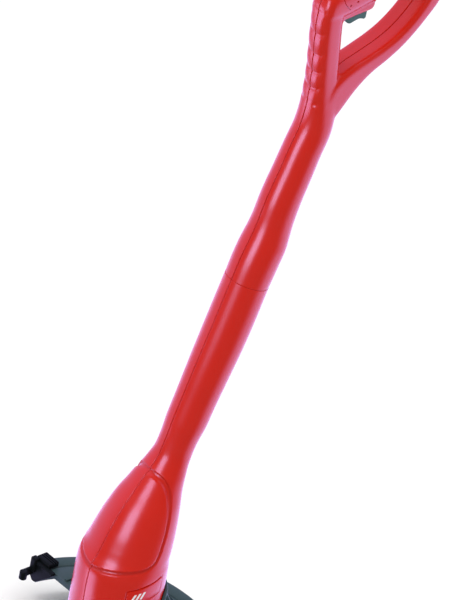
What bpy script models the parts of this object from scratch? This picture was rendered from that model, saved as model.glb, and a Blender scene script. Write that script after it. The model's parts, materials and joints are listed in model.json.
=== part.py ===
"""Compact mains string trimmer, built as an assembly of separate pieces.

Frame: +Z is up along the motor's axis, the origin is on the flat foot of the bump knob, -Y is the front,
+Y is towards the user and +X is the user's left. Sizes below are in millimetres, and the mesh helpers turn
them into metres.
"""

import math

import bmesh
import bpy
from mathutils import Matrix, Vector

MM = 0.001
GAP = 0.3  # between pieces that rest on each other
SEAM = 0.15  # from the centre plane to the edge of each half of the casing
WALL = 2.5
FAR = 90.0  # beyond every part of the casing

# ---- Driving dimensions of the casing --------------------------------------------------------------------
SHAFT_LEAN = math.radians(16.9)
JOINT_HEIGHT = 470.0  # where the handle plugs onto the motor half
SPIGOT_TOP = 506.0
SPIGOT_RADIUS, SPIGOT_WALL = 21.4, 2.2
JOINT_SETBACK = 106.9

# (height, set-back of the centre, radius): rings of the motor half, from its rim up the shaft.
MOTOR_CASING = [
    (50, 0.0, 47.2),
    (54, 0.0, 48.8),
    (100, 0.0, 49.0),
    (141, 0.3, 48.8),
    (150, 1.2, 47.2),
    (160, 5.4, 45.5),
    (172, 9, 43.9),
    (186, 11.2, 41.7),
    (199, 15.1, 39.0),
    (214, 20.6, 34.9),
    (230, 27.0, 29.8),
    (246, 34, 25.6),
    (257, 39.2, 22.8),
    (268, 44.6, 20.9),
    (281, 48.9, 20.6),
    (304, 56.4, 22.2),
    (327, 63.4, 22.6),
    (362, 74.4, 23.7),
    (398, 86, 24.7),
    (432, 96.2, 25),
    (JOINT_HEIGHT, JOINT_SETBACK - 0.1, 24.8),
]
LEAN_STARTS, LEAN_ENDS = 246.0, 327.0  # heights between which the rings tilt over to the shaft's lean

# The same for the handle half: the thick socket, the shaft and the front column.
HANDLE_COLUMN = [
    (JOINT_HEIGHT + 0.4, JOINT_SETBACK, 24.8),
    (500, 116.3, 25.3),
    (514, 121.4, 25),
    (524, 124.2, 24),
    (536, 127, 22.9),
    (565, 133.6, 22.3),
    (600, 144.8, 21.7),
    (623, 151.9, 21.3),
    (650, 161, 20.8),
    (668, 162.9, 19.2),
    (684, 162.7, 17.7),
    (702, 161.2, 16.6),
    (724, 158.9, 16),
    (755, 155.2, 15.9),
    (790, 151.5, 15.9),
    (812, 150.8, 15.9),
]
# (set-back, height, half height, half width): sections of the grip, from the nose to the tail.
GRIP = [
    (136, 806, 8, 8),
    (138, 807.5, 15, 12),
    (142, 810, 20, 15),
    (148, 812, 21.5, 16.3),
    (158, 813.5, 21.3, 16.8),
    (175, 815.5, 20.5, 17),
    (200, 819, 19.2, 16.8),
    (230, 822.5, 19, 16.8),
    (260, 826, 19, 16.8),
    (285, 828.5, 19.5, 16.8),
    (303, 830, 19, 16.5),
    (311, 830.5, 15, 13.5),
    (316, 831, 9, 9),
]
# (set-back, height, half depth, half width): sections of the strut that closes the loop underneath.
STRUT = [
    (163, 655, 9, 13),
    (166.5, 668, 12.5, 16.5),
    (172, 683, 16.5, 17.7),
    (180, 697, 19, 17.7),
    (194, 708.5, 16.5, 17.7),
    (213, 718.5, 12.4, 17.7),
    (233, 726.6, 10.8, 17.7),
    (251, 736.2, 9.7, 17.7),
    (266.8, 748.6, 9, 17.7),
    (280, 762.5, 9, 17.7),
    (291, 777, 10, 17.7),
    (298.5, 793, 10.5, 17.3),
    (303, 810, 10.5, 16.5),
    (304, 828, 9, 15),
]
SHROUD_FRONT, SHROUD_REAR, SHROUD_BOTTOM = 160.0, 207.5, 791.0  # lip that carries the trigger
SHROUD_HALF_WIDTH = 12.5

# ---- Driving dimensions of the drive and the head --------------------------------------------------------
SHAFT_RADIUS = 3.5
BORE_RADIUS = SHAFT_RADIUS + GAP
STATOR_RADIUS, STATOR_BOTTOM, STATOR_TOP = 32.0, 104.0, 148.0
ARMATURE_RADIUS = 17.0
COMMUTATOR_RADIUS, COMMUTATOR_BOTTOM, COMMUTATOR_TOP = 10.0, 158.0, 172.0
BEARING_RADIUS = 9.0
LOWER_BEARING, UPPER_BEARING = 87.0, 180.0  # height of each bearing's lower face
BEARING_WIDTH = 7.0
FAN_RADIUS = 33.0
HUB_RADIUS, HUB_TOP = 38.0, 41.0
CAP_RADIUS = 40.0
EYELET_HEIGHT = 27.0
LINE_RADIUS, LINE_REACH = 0.7, 111.5
HEAD_TURN = Matrix.Rotation(math.radians(-25), 4, "Z")  # how the head rests
KNOB_RADIUS = 17.0

GUARD_HALF_WIDTH, GUARD_DEPTH, GUARD_FRONT = 134.0, 118.0, 14.0
GUARD_TOP, GUARD_BOTTOM, GUARD_WALL = 45.3, 17.0, 2.5
GUARD_RING_OUTER, GUARD_RING_INNER = 47.0, 30.0

COLLAR_INNER, COLLAR_OUTER = 49.6, 52.9  # the guard's wall behind the motor casing
COLLAR_LOW, COLLAR_HIGH = 60.0, 112.0
CARRIER_OUTER, CARRIER_INNER = -137.0, -104.0  # the blade carrier's ends along X
CUTTER_INNER, CUTTER_BOTTOM = -107.3, 25.0  # the cutting edge's place along X and its lower end

# ---- Driving dimensions of the fittings ------------------------------------------------------------------
# (set-back, height, half width of the casing there): the casing's screws, put in from the user's right.
HANDLE_SCREWS = [
    (133.0, 562.0, 22.2),
    (159.5, 646.0, 20.6),
    (151.5, 768.0, 15.7),
    (245.0, 820.0, 16.2),
    (293.0, 786.0, 16.6),
]
MOTOR_SCREWS = [
    (-37.0, 70.0, 27.0),
    (37.0, 70.0, 27.0),
    (45.0, 210.0, 24.0),
    (65.0, 332.0, 22.6),
    (93.5, 424.0, 24.8),
]
BOSS_RADIUS, PILOT_RADIUS, HEAD_RADIUS = 4.0, 1.7, 3.2
HEAD_DEPTH = 6.0  # how far the screw's head sits below the casing's surface

TRIGGER_PIN = (172.0, 797.0)  # set-back and height of the trigger's axis
TRIGGER_HALF_WIDTH = 7.5
SWITCH_FRONT, SWITCH_REAR, SWITCH_BOTTOM, SWITCH_TOP = 178.0, 210.0, 810.0, 831.0
PLUNGER_SETBACK = 196.0
INLET_SETBACK, INLET_HEIGHT = 318.0, 830.0
GLAND_NECK, GLAND_FLANGE, CABLE_HOLE = 6.2, 8.6, 3.9
CLAMP_SETBACK, CLAMP_HEIGHT = 264.0, 824.0
LABEL_FRONT, LABEL_REAR = -35.0, 18.0  # around the casing, in degrees behind +X
LABEL_BOTTOM, LABEL_HEIGHT, LABEL_RISE = 112.5, 20.5, 10.5

COLOURS = {
    "red_plastic": ((0.62, 0.03, 0.025), 0.28, 0.0),
    "dark_plastic": ((0.035, 0.045, 0.05), 0.45, 0.0),
    "black_plastic": ((0.012, 0.013, 0.014), 0.4, 0.0),
    "grey_plastic": ((0.10, 0.16, 0.16), 0.4, 0.0),
    "steel": ((0.55, 0.56, 0.58), 0.3, 1.0),
    "brass": ((0.75, 0.55, 0.22), 0.3, 1.0),
    "copper": ((0.65, 0.25, 0.10), 0.35, 1.0),
    "laminations": ((0.25, 0.25, 0.27), 0.45, 1.0),
    "carbon": ((0.03, 0.03, 0.03), 0.6, 0.0),
    "rubber": ((0.015, 0.015, 0.015), 0.7, 0.0),
    "nylon_line": ((0.72, 0.74, 0.70), 0.35, 0.0),
    "label": ((0.70, 0.28, 0.33), 0.35, 0.0),
    "capacitor": ((0.75, 0.62, 0.10), 0.4, 0.0),
}


# ---- Mesh helpers ----------------------------------------------------------------------------------------
def clear_scene():
    for obj in list(bpy.data.objects):
        bpy.data.objects.remove(obj)


def material(slot):
    found = bpy.data.materials.get(slot)
    if found:
        return found
    colour, roughness, metallic = COLOURS[slot]
    made = bpy.data.materials.new(slot)
    made.use_nodes = True
    shader = made.node_tree.nodes["Principled BSDF"]
    shader.inputs["Base Color"].default_value = (*colour, 1)
    shader.inputs["Roughness"].default_value = roughness
    shader.inputs["Metallic"].default_value = metallic
    return made


def place(name, mesh_data, slot, location=(0, 0, 0), parent=None):
    """Links a mesh as an object at a location given in millimetres."""
    obj = bpy.data.objects.new(name, mesh_data)
    bpy.context.scene.collection.objects.link(obj)
    obj.location = Vector(location) * MM
    if parent:
        obj.parent = parent
        obj.matrix_parent_inverse = Matrix.Translation(-parent.location)
    if slot:
        mesh_data.materials.append(material(slot))
    return obj


def mesh_of(points, faces, smooth_under=35):
    """A mesh from points in millimetres, with its faces turned outwards."""
    mesh = bpy.data.meshes.new("mesh")
    mesh.from_pydata([Vector(p) * MM for p in points], [], faces)
    work = bmesh.new()
    work.from_mesh(mesh)
    bmesh.ops.recalc_face_normals(work, faces=work.faces)
    work.to_mesh(mesh)
    work.free()
    mesh.shade_smooth()
    mesh.set_sharp_from_angle(angle=math.radians(smooth_under))
    return mesh


def loft(rings):
    """Skins a list of closed rings that have equally many points, and caps both ends."""
    count = len(rings[0])
    points = [p for ring in rings for p in ring]
    faces = []
    for k in range(len(rings) - 1):
        for i in range(count):
            j = (i + 1) % count
            faces.append((k * count + i, k * count + j, (k + 1) * count + j, (k + 1) * count + i))
    faces.append(tuple(range(count))[::-1])
    faces.append(tuple((len(rings) - 1) * count + i for i in range(count)))
    return mesh_of(points, faces)


def lathe(profile, segments=28):
    """Turns a closed (radius, height) outline about Z. Points at radius 0 become single points."""
    points, faces, rows = [], [], []
    for radius, height in profile:
        if radius == 0:
            rows.append([len(points)] * segments)
            points.append((0, 0, height))
            continue
        rows.append([len(points) + i for i in range(segments)])
        for i in range(segments):
            angle = 2 * math.pi * i / segments
            points.append((radius * math.cos(angle), radius * math.sin(angle), height))
    for k in range(len(rows)):
        low, high = rows[k], rows[(k + 1) % len(rows)]
        for i in range(segments):
            j = (i + 1) % segments
            corners = list(dict.fromkeys((low[i], low[j], high[j], high[i])))
            if len(corners) > 2:
                faces.append(corners)
    return mesh_of(points, faces)


def ring_mesh(inner, outer, bottom, top, segments=28):
    return lathe([(inner, bottom), (outer, bottom), (outer, top), (inner, top)], segments)


def rod_mesh(radius, bottom, top, segments=16):
    return lathe([(0, bottom), (radius, bottom), (radius, top), (0, top)], segments)


def extrude_x(outline, half_width):
    """A plate across X from a (set-back, height) outline."""
    sides = [[(x, y, z) for y, z in outline] for x in (-half_width, half_width)]
    return loft(sides)


def extrude_y(outline, y0, y1):
    """A plate along Y from an (x, height) outline."""
    return loft([[(x, y, z) for x, z in outline] for y in (y0, y1)])


def extrude_z(outline, bottom, top):
    return loft([[(x, y, z) for x, y in outline] for z in (bottom, top)])


def block(x0, x1, y0, y1, z0, z1):
    return extrude_z([(x0, y0), (x1, y0), (x1, y1), (x0, y1)], z0, z1)


def along_x(mesh, y, z, x=0.0):
    """Turns a mesh made about Z so that it runs along X through (x, y, z)."""
    mesh.transform(Matrix.Translation(Vector((x, y, z)) * MM) @ Matrix.Rotation(math.pi / 2, 4, "Y"))
    return mesh


def helper(name, mesh):
    """A cutter or guide: it is never part of the object."""
    obj = place(name, mesh, None)
    obj.hide_render = True
    obj.display_type = "WIRE"
    return obj


def combine(obj, operation, other, solver="EXACT"):
    step = obj.modifiers.new(f"{operation.lower()}_{other.name}", "BOOLEAN")
    step.operation = operation
    step.solver = solver
    step.object = other


def smooth_step(value, low, high):
    share = min(1.0, max(0.0, (value - low) / (high - low)))
    return share * share * (3 - 2 * share)


def spline_point(stations, at):
    """Catmull-Rom through the stations, where at runs from 0 to len(stations) - 1."""
    last = len(stations) - 1
    k = min(int(at), last - 1)
    t = at - k
    p0, p1, p2, p3 = (Vector(stations[min(max(k + d, 0), last)]) for d in (-1, 0, 1, 2))
    bend = (2 * p0 - 5 * p1 + 4 * p2 - p3) * t * t + (3 * p1 - 3 * p2 + p3 - p0) * t**3
    return p1 + 0.5 * ((p2 - p0) * t + bend)


# ---- Casing ----------------------------------------------------------------------------------------------
def tilted_circle(height, setback, radius, lean, segments=24):
    """A ring about the casing's centreline, tilted back by lean."""
    ring = []
    for i in range(segments):
        angle = 2 * math.pi * i / segments
        across, deep = radius * math.sin(angle), -radius * math.cos(angle)
        ring.append((across, setback + deep * math.cos(lean), height - deep * math.sin(lean)))
    return ring


def motor_rings(thinner=0.0):
    rings = []
    for height, setback, radius in MOTOR_CASING:
        lean = SHAFT_LEAN * smooth_step(height, LEAN_STARTS, LEAN_ENDS)
        rings.append(tilted_circle(height, setback, radius - thinner, lean))
    return rings


def column_rings(thinner=0.0):
    rings = []
    last = len(HANDLE_COLUMN) - 1
    for k, (height, setback, radius) in enumerate(HANDLE_COLUMN):
        below, above = HANDLE_COLUMN[max(k - 1, 0)], HANDLE_COLUMN[min(k + 1, last)]
        lean = math.atan2(above[1] - below[1], above[0] - below[0])
        rings.append(tilted_circle(height, setback, radius - thinner, lean))
    return rings


def rounded_section(centre, normal_angle, half_depth, half_width, squareness, segments=20):
    """A superellipse across a path in the plane x = 0 that runs at normal_angle above +Y."""
    ring = []
    for i in range(segments):
        angle = 2 * math.pi * i / segments
        c, s = math.cos(angle), math.sin(angle)
        deep = half_depth * math.copysign(abs(c) ** (2 / squareness), c)
        across = half_width * math.copysign(abs(s) ** (2 / squareness), s)
        y = centre[0] - deep * math.sin(normal_angle)
        z = centre[1] + deep * math.cos(normal_angle)
        ring.append((across, y, z))
    return ring


def path_rings(stations, squareness, thinner=0.0, upright=False):
    rings = []
    last = len(stations) - 1
    for k, (setback, height, half_depth, half_width) in enumerate(stations):
        below, above = stations[max(k - 1, 0)], stations[min(k + 1, last)]
        angle = 0.0 if upright else math.atan2(above[1] - below[1], above[0] - below[0])
        depth, width = max(half_depth - thinner, 2.0), max(half_width - thinner, 2.0)
        rings.append(rounded_section((setback, height), angle, depth, width, squareness))
    return rings


def shroud_mesh(inset, bottom):
    """The lip under the grip that the trigger comes out of."""
    low, high = SHROUD_FRONT + inset, SHROUD_REAR - inset
    outline = [(low, bottom), (high - 3, bottom), (high, bottom + 4), (high, 810), (low, 810)]
    return extrude_x(outline, SHROUD_HALF_WIDTH - inset)


def half_space(side):
    x0, x1 = sorted((side * SEAM, side * FAR))
    return helper(f"half_space_{'left' if side > 0 else 'right'}", block(x0, x1, -FAR, 400, -20, 900))


def bosses(name, screws, halves):
    """Adds the posts and holes for the screws to both halves of a casing. Heads are on the right, at -X."""
    for k, (y, z, half_width) in enumerate(screws):
        reach = half_width - 1.0
        left = helper(f"{name}_post_left_{k}", along_x(rod_mesh(BOSS_RADIUS, SEAM, reach, 12), y, z))
        right = helper(f"{name}_post_right_{k}", along_x(rod_mesh(BOSS_RADIUS, -reach, -SEAM, 12), y, z))
        pilot = helper(f"{name}_pilot_{k}", along_x(rod_mesh(PILOT_RADIUS, -FAR, reach - 4, 12), y, z))
        head_seat = -half_width + HEAD_DEPTH
        sink = helper(f"{name}_sink_{k}", along_x(rod_mesh(HEAD_RADIUS + GAP, -FAR, head_seat, 12), y, z))
        for operation, tool in (("UNION", left), ("DIFFERENCE", pilot)):
            combine(halves["left"], operation, tool, "MANIFOLD")
        for operation, tool in (("UNION", right), ("DIFFERENCE", pilot), ("DIFFERENCE", sink)):
            combine(halves["right"], operation, tool, "MANIFOLD")


def screw_mesh(half_width, shank_end):
    """A pan-head screw about Z. Turned to lie along X, its head is towards -X."""
    seat = -half_width + HEAD_DEPTH - GAP
    profile = [(0, seat - 2.2), (2.2, seat - 2.2), (HEAD_RADIUS, seat - 1.2), (HEAD_RADIUS, seat)]
    profile += [(1.35, seat), (1.35, shank_end - 1.5), (0, shank_end)]
    return lathe(profile, 12)


def casing_screws(prefix, screws):
    for k, (y, z, half_width) in enumerate(screws):
        mesh = screw_mesh(half_width, half_width - 7.0)
        mesh.transform(Matrix.Rotation(math.pi / 2, 4, "Y"))
        place(f"{prefix}_screw_{k + 1}", mesh, "steel", (0, y, z))


def vent_slots():
    """Cutters for the air slots at the back of the motor half."""
    slots = []
    for side in (-1, 1):
        for k in range(4):
            height = 150 + 9 * k
            x0, x1 = sorted((side * 6, side * 24))
            slots.append(helper(f"vent_{side}_{k}", block(x0, x1, 34, 70, height, height + 3.2)))
    return slots


def spigot_ring(height, radius):
    setback = JOINT_SETBACK + (height - JOINT_HEIGHT) * math.tan(SHAFT_LEAN)
    return tilted_circle(height, setback, radius, SHAFT_LEAN)


def build_motor_casing():
    cavity_rings = motor_rings(WALL)
    cavity_rings[0] = [(x, y, 40) for x, y, z in cavity_rings[1]]
    neck = [spigot_ring(height, SPIGOT_RADIUS - SPIGOT_WALL) for height in (456, SPIGOT_TOP + 4)]
    cavity = helper("motor_cavity", loft(cavity_rings[:-1] + neck))
    spigot = helper("spigot", loft([spigot_ring(height, SPIGOT_RADIUS) for height in (452, SPIGOT_TOP)]))
    seats = [
        helper(f"stator_seat_{height}", ring_mesh(STATOR_RADIUS + GAP, 47.6, height, height + 3))
        for height in (110, 136)
    ]
    slots = vent_slots()
    halves = {}
    for side, word in ((1, "left"), (-1, "right")):
        shell = place(f"motor_shell_{word}", loft(motor_rings()), "red_plastic")
        combine(shell, "UNION", spigot)
        combine(shell, "DIFFERENCE", cavity)
        for seat in seats:
            combine(shell, "UNION", seat)
        for slot in slots:
            combine(shell, "DIFFERENCE", slot)
        combine(shell, "INTERSECT", half_space(side), "MANIFOLD")
        halves[word] = shell
    bosses("motor", MOTOR_SCREWS, halves)
    casing_screws("motor_shell", MOTOR_SCREWS)


def build_handle_casing():
    grip = helper("grip_solid", loft(path_rings(GRIP, 2.5, upright=True)))
    strut = helper("strut_solid", loft(path_rings(STRUT, 3.4)))
    shroud = helper("shroud_solid", shroud_mesh(0, SHROUD_BOTTOM))
    column_cavity = column_rings(WALL)
    column_cavity[0] = [(x, y - 3 * math.tan(SHAFT_LEAN), z - 3) for x, y, z in column_cavity[0]]
    cavities = [
        helper("column_cavity", loft(column_cavity)),
        helper("grip_cavity", loft(path_rings(GRIP[1:-1], 2.5, WALL, upright=True))),
        helper("strut_cavity", loft(path_rings(STRUT, 3.4, WALL))),
        helper("shroud_cavity", shroud_mesh(WALL, SHROUD_BOTTOM + WALL)),
    ]
    slot = helper("trigger_slot", block(-8.3, 8.3, 166.6, 205.2, 776, 801))
    inlet = helper("inlet_hole", along_y(rod_mesh(GLAND_NECK + GAP, 300, 340), 0, INLET_HEIGHT))
    halves = {}
    for side, word in ((1, "left"), (-1, "right")):
        shell = place(f"handle_shell_{word}", loft(column_rings()), "red_plastic")
        for solid in (grip, strut, shroud):
            combine(shell, "UNION", solid, "MANIFOLD")
        for cutter in (*cavities, slot, inlet):
            combine(shell, "DIFFERENCE", cutter, "MANIFOLD")
        combine(shell, "INTERSECT", bpy.data.objects[f"half_space_{word}"], "MANIFOLD")
        halves[word] = shell
    bosses("handle", HANDLE_SCREWS, halves)
    casing_screws("handle_shell", HANDLE_SCREWS)


# ---- Mains inlet and switchgear --------------------------------------------------------------------------
def along_y(mesh, x, z):
    """Turns a mesh made about Z so that it runs along +Y through (x, z)."""
    mesh.transform(Matrix.Translation(Vector((x, 0, z)) * MM) @ Matrix.Rotation(-math.pi / 2, 4, "X"))
    return mesh


def build_inlet():
    profile = [(CABLE_HOLE, -12), (GLAND_FLANGE, -12), (GLAND_FLANGE, -7.3), (GLAND_NECK, -7.3)]
    profile += [(GLAND_NECK, 0), (GLAND_NECK + 1.2, 1), (5.4, 12), (CABLE_HOLE, 12)]
    gland = lathe(profile, 20)
    place("cord_gland", along_y(gland, 0, 0), "rubber", (0, INLET_SETBACK, INLET_HEIGHT))
    saddle = [(-9.5, 3.5), (-9.5, 0), (-2.8, 0), (-2, -1.2), (2, -1.2), (2.8, 0), (9.5, 0), (9.5, 3.5)]
    ends = (CLAMP_SETBACK - 4, CLAMP_SETBACK + 4)
    clamp = loft([[(x, y, CLAMP_HEIGHT + z) for x, z in saddle] for y in ends])
    place("cord_clamp", clamp, "black_plastic")
    for side, word in ((1, "left"), (-1, "right")):
        shell = bpy.data.objects[f"handle_shell_{word}"]
        at = Vector((side * 6.6, CLAMP_SETBACK, 0)) * MM
        post = helper(f"clamp_post_{word}", rod_mesh(3.2, 810, CLAMP_HEIGHT - GAP, 12))
        hole = helper(f"clamp_hole_{word}", rod_mesh(1.4, CLAMP_HEIGHT - 8, CLAMP_HEIGHT + 11, 12))
        post.location = at
        hole.location = at
        combine(shell, "UNION", post, "MANIFOLD")
        combine(shell, "DIFFERENCE", hole, "MANIFOLD")
        combine(bpy.data.objects["cord_clamp"], "DIFFERENCE", hole)
        screw = [(0, -6), (1.1, -5), (1.1, 3.8), (2.4, 3.8), (2.4, 5.3), (1.6, 6), (0, 6)]
        spot = (side * 6.6, CLAMP_SETBACK, CLAMP_HEIGHT)
        place(f"cord_clamp_screw_{word}", lathe(screw, 12), "steel", spot)


def trigger_outline():
    """The trigger from the side: an arm from its pin, two finger bumps and a flat for the plunger."""
    y, z = TRIGGER_PIN
    return [
        (y - 4.0, z + 4.0),
        (y - 4.6, z - 1.0),
        (y - 1.4, z - 9.5),
        (y + 4.0, z - 16.0),
        (y + 8.0, z - 18.0),
        (y + 12.0, z - 17.2),
        (y + 20.4, z - 15.6),
        (y + 25.0, z - 17.4),
        (y + 28.4, z - 19.0),
        (y + 30.4, z - 17.4),
        (y + 30.8, z - 11.0),
        (y + 30.6, z + 2.5),
        (y + 29.2, z + 4.0),
    ]


def build_trigger():
    y, z = TRIGGER_PIN
    local = [(py - y, pz - z) for py, pz in trigger_outline()]
    trigger = place("trigger", extrude_x(local, TRIGGER_HALF_WIDTH), "grey_plastic", (0, y, z))
    combine(trigger, "DIFFERENCE", helper("trigger_bore", along_x(rod_mesh(2.3, -20, 20), y, z)))
    pin = along_x(rod_mesh(2.0, -9.7, 9.7), 0, 0)
    place("trigger_pin", pin, "steel", (0, y, z))
    for side in (-1, 1):
        word = "left" if side > 0 else "right"
        x0, x1 = sorted((side * 8.4, side * 12.3))
        post = helper(f"pin_post_{word}", along_x(ring_mesh(2.0 + GAP, 5.0, x0, x1, 16), y, z))
        combine(bpy.data.objects[f"handle_shell_{word}"], "UNION", post, "MANIFOLD")
    spring = spring_mesh(4.9, 0.45, 0, SWITCH_BOTTOM - z - 4.6, 4)
    place("trigger_spring", spring, "steel", (0, PLUNGER_SETBACK, z + 4.6))


def spring_mesh(radius, wire, bottom, top, turns, sides=5, per_turn=10):
    """A closed coil between two heights, with a round wire."""
    rings = []
    steps = turns * per_turn
    rise = (top - bottom - 2 * wire) / steps
    for k in range(steps + 1):
        angle = 2 * math.pi * k / per_turn
        out = Vector((math.cos(angle), math.sin(angle), 0))
        centre = out * radius + Vector((0, 0, bottom + wire + rise * k))
        ring = []
        for i in range(sides):
            turn = 2 * math.pi * i / sides
            ring.append(tuple(centre + out * wire * math.cos(turn) + Vector((0, 0, wire * math.sin(turn)))))
        rings.append(ring)
    return loft(rings)


def build_switch():
    case = block(-7, 7, SWITCH_FRONT, SWITCH_REAR, SWITCH_BOTTOM, SWITCH_TOP)
    body = place("switch_body", case, "black_plastic")
    z = TRIGGER_PIN[1]
    well = helper("spring_well", rod_mesh(5.8, SWITCH_BOTTOM - 5, SWITCH_BOTTOM + GAP))
    well.location = Vector((0, PLUNGER_SETBACK, 0)) * MM
    combine(body, "DIFFERENCE", well)
    low, high = PLUNGER_SETBACK - 3.3, PLUNGER_SETBACK + 3.3
    bore = helper("plunger_bore", block(-3.3, 3.3, low, high, SWITCH_BOTTOM - 4, SWITCH_TOP - 6))
    combine(body, "DIFFERENCE", bore)
    plunger = block(-3, 3, -3, 3, z + 4.4 - SWITCH_BOTTOM, 6.5)
    place("switch_plunger", plunger, "grey_plastic", (0, PLUNGER_SETBACK, SWITCH_BOTTOM))
    can = [(-6, 222), (6, 222), (6, 240), (-6, 240)]
    place("suppression_capacitor", extrude_z(can, 809, 828), "capacitor")


def build_inner_lead():
    """The lead from the switch down the shaft to the motor, held inside the casing all the way."""
    route = [
        (SWITCH_FRONT - 0.7, 820),
        (171, 820),
        (165, 814),
        (161.5, 802),
        (161, 786),
        (163, 768),
        (168, 720),
        (170, 684),
        (167, 646),
        (155, 600),
        (143.6, 562),
        (133, 528),
        (119, 480),
        (102, 424),
        (89, 380),
        (75, 332),
        (61, 300),
        (50, 272),
        (38, 240),
        (24, 214),
        (14, 200),
    ]
    samples = 36
    curve = bpy.data.curves.new("inner_lead", "CURVE")
    curve.dimensions = "3D"
    curve.bevel_depth = 2.6 * MM
    curve.bevel_resolution = 1
    curve.use_fill_caps = True
    spline = curve.splines.new("POLY")
    spline.points.add(samples)
    for k in range(samples + 1):
        y, z = spline_point(route, k * (len(route) - 1) / samples)
        spline.points[k].co = (0, y * MM, z * MM, 1)
    curve.materials.append(material("black_plastic"))
    lead = bpy.data.objects.new("inner_lead", curve)
    bpy.context.scene.collection.objects.link(lead)


# ---- Motor -----------------------------------------------------------------------------------------------
def polar(radius, degrees):
    return (radius * math.cos(math.radians(degrees)), radius * math.sin(math.radians(degrees)))


def stator_outline_solids():
    """The yoke ring and its two poles, as helpers to join."""
    poles = []
    for k, middle in enumerate((90, 270)):
        inner = [polar(ARMATURE_RADIUS + 0.8, middle - 52 + 8 * i) for i in range(14)]
        outer = [polar(20.6, middle + 52 - 8 * i) for i in range(14)]
        poles.append(helper(f"pole_shoe_{k}", extrude_z(inner + outer, STATOR_BOTTOM, STATOR_TOP)))
        corners = ((19.5, -20), (29.5, -13), (29.5, 13), (19.5, 20))
        neck = [polar(radius, middle + around) for radius, around in corners]
        poles.append(helper(f"pole_neck_{k}", extrude_z(neck, STATOR_BOTTOM, STATOR_TOP)))
    return poles


def field_coil_mesh(middle):
    """A flat coil bent to the yoke's curve: a frame in (angle, height) with a radial thickness."""
    inner, outer = 21.0, 27.0
    low, high = STATOR_BOTTOM - 6, STATOR_TOP + 6
    corners_out = [(-50, low), (50, low), (50, high), (-50, high)]
    low, high = STATOR_BOTTOM - 0.4, STATOR_TOP + 0.4
    corners_in = [(-28, low), (28, low), (28, high), (-28, high)]
    per_side = 8
    rings = []
    for side in range(4):
        for k in range(per_side):
            share = k / per_side
            frame = []
            for corners in (corners_in, corners_out):
                a, b = Vector(corners[side]), Vector(corners[(side + 1) % 4])
                frame.append(a.lerp(b, share))
            section = [(inner, frame[0]), (outer, frame[0]), (outer, frame[1]), (inner, frame[1])]
            rings.append([(*polar(r, middle + p[0]), p[1]) for r, p in section])
    points = [p for ring in rings for p in ring]
    faces = []
    for k in range(len(rings)):
        n = (k + 1) % len(rings)
        faces += [(4 * k + i, 4 * k + (i + 1) % 4, 4 * n + (i + 1) % 4, 4 * n + i) for i in range(4)]
    return mesh_of(points, faces)


def armature_mesh(slots=12):
    """A slotted lamination stack, bored, with the winding heads as a smaller round at each end."""
    def outline(tooth, valley):
        ring = []
        for i in range(slots):
            base = 360 * i / slots
            for offset, radius in ((-4, valley), (-3, tooth), (12, tooth), (13, valley)):
                ring.append(polar(radius, base + offset + 9))
        return ring

    levels = [(STATOR_BOTTOM - 5, 10, 10), (STATOR_BOTTOM - 3, 14, 14), (STATOR_BOTTOM - 0.2, 14, 14)]
    levels += [(STATOR_BOTTOM, ARMATURE_RADIUS, 13), (STATOR_TOP, ARMATURE_RADIUS, 13)]
    levels += [(STATOR_TOP + 0.2, 14, 14), (STATOR_TOP + 3, 14, 14), (STATOR_TOP + 5, 10, 10)]
    return loft([[(x, y, z) for x, y in outline(tooth, valley)] for z, tooth, valley in levels])


def bracket_mesh(radius, bottom, top, seat_bottom):
    """A round end bracket with a seat for its bearing."""
    inner = BEARING_RADIUS + GAP
    profile = [(5.5, seat_bottom - 2), (inner + 3, seat_bottom - 2), (inner + 3, bottom), (radius, bottom)]
    profile += [(radius, top), (inner + 3, top), (inner + 3, seat_bottom + BEARING_WIDTH)]
    profile += [(inner, seat_bottom + BEARING_WIDTH), (inner, seat_bottom - GAP), (5.5, seat_bottom - GAP)]
    return lathe(profile)


def build_motor(spin):
    place("motor_shaft", rod_mesh(SHAFT_RADIUS, 31, 190), "steel", (0, 0, 0), spin)
    armature = place("armature", armature_mesh(), "laminations", (0, 0, 0), spin)
    combine(armature, "DIFFERENCE", helper("armature_bore", rod_mesh(BORE_RADIUS, 60, 200)))
    commutator = ring_mesh(BORE_RADIUS, COMMUTATOR_RADIUS, COMMUTATOR_BOTTOM, COMMUTATOR_TOP, 24)
    place("commutator", commutator, "copper", (0, 0, 0), spin)

    core = place("stator_core", ring_mesh(27.4, STATOR_RADIUS, STATOR_BOTTOM, STATOR_TOP, 32), "laminations")
    for solid in stator_outline_solids():
        combine(core, "UNION", solid)
    for word, middle in (("front", 270), ("rear", 90)):
        place(f"field_coil_{word}", field_coil_mesh(middle), "copper")
    for word, height in (("lower", LOWER_BEARING), ("upper", UPPER_BEARING)):
        bearing = ring_mesh(SHAFT_RADIUS + 0.05, BEARING_RADIUS, 0, BEARING_WIDTH, 24)
        place(f"{word}_bearing", bearing, "steel", (0, 0, height))
    place("lower_bracket", bracket_mesh(36, 91.5, 94.5, LOWER_BEARING), "black_plastic")
    place("upper_bracket", bracket_mesh(26, 177.5, 180.5, UPPER_BEARING), "black_plastic")
    for side, word in ((1, "left"), (-1, "right")):
        x0, x1 = sorted((side * (COMMUTATOR_RADIUS + 2), side * 26))
        holder = place(f"brush_holder_{word}", block(x0, x1, -5.5, 5.5, 159, 171), "brass")
        tunnel = helper(f"brush_tunnel_{word}", block(*sorted((side * 5, side * 24)), -3.5, 3.5, 161, 169))
        combine(holder, "DIFFERENCE", tunnel)
        brush = block(*sorted((side * (COMMUTATOR_RADIUS + GAP), side * 22)), -3.2, 3.2, 161.3, 168.7)
        place(f"carbon_brush_{word}", brush, "carbon")


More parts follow.
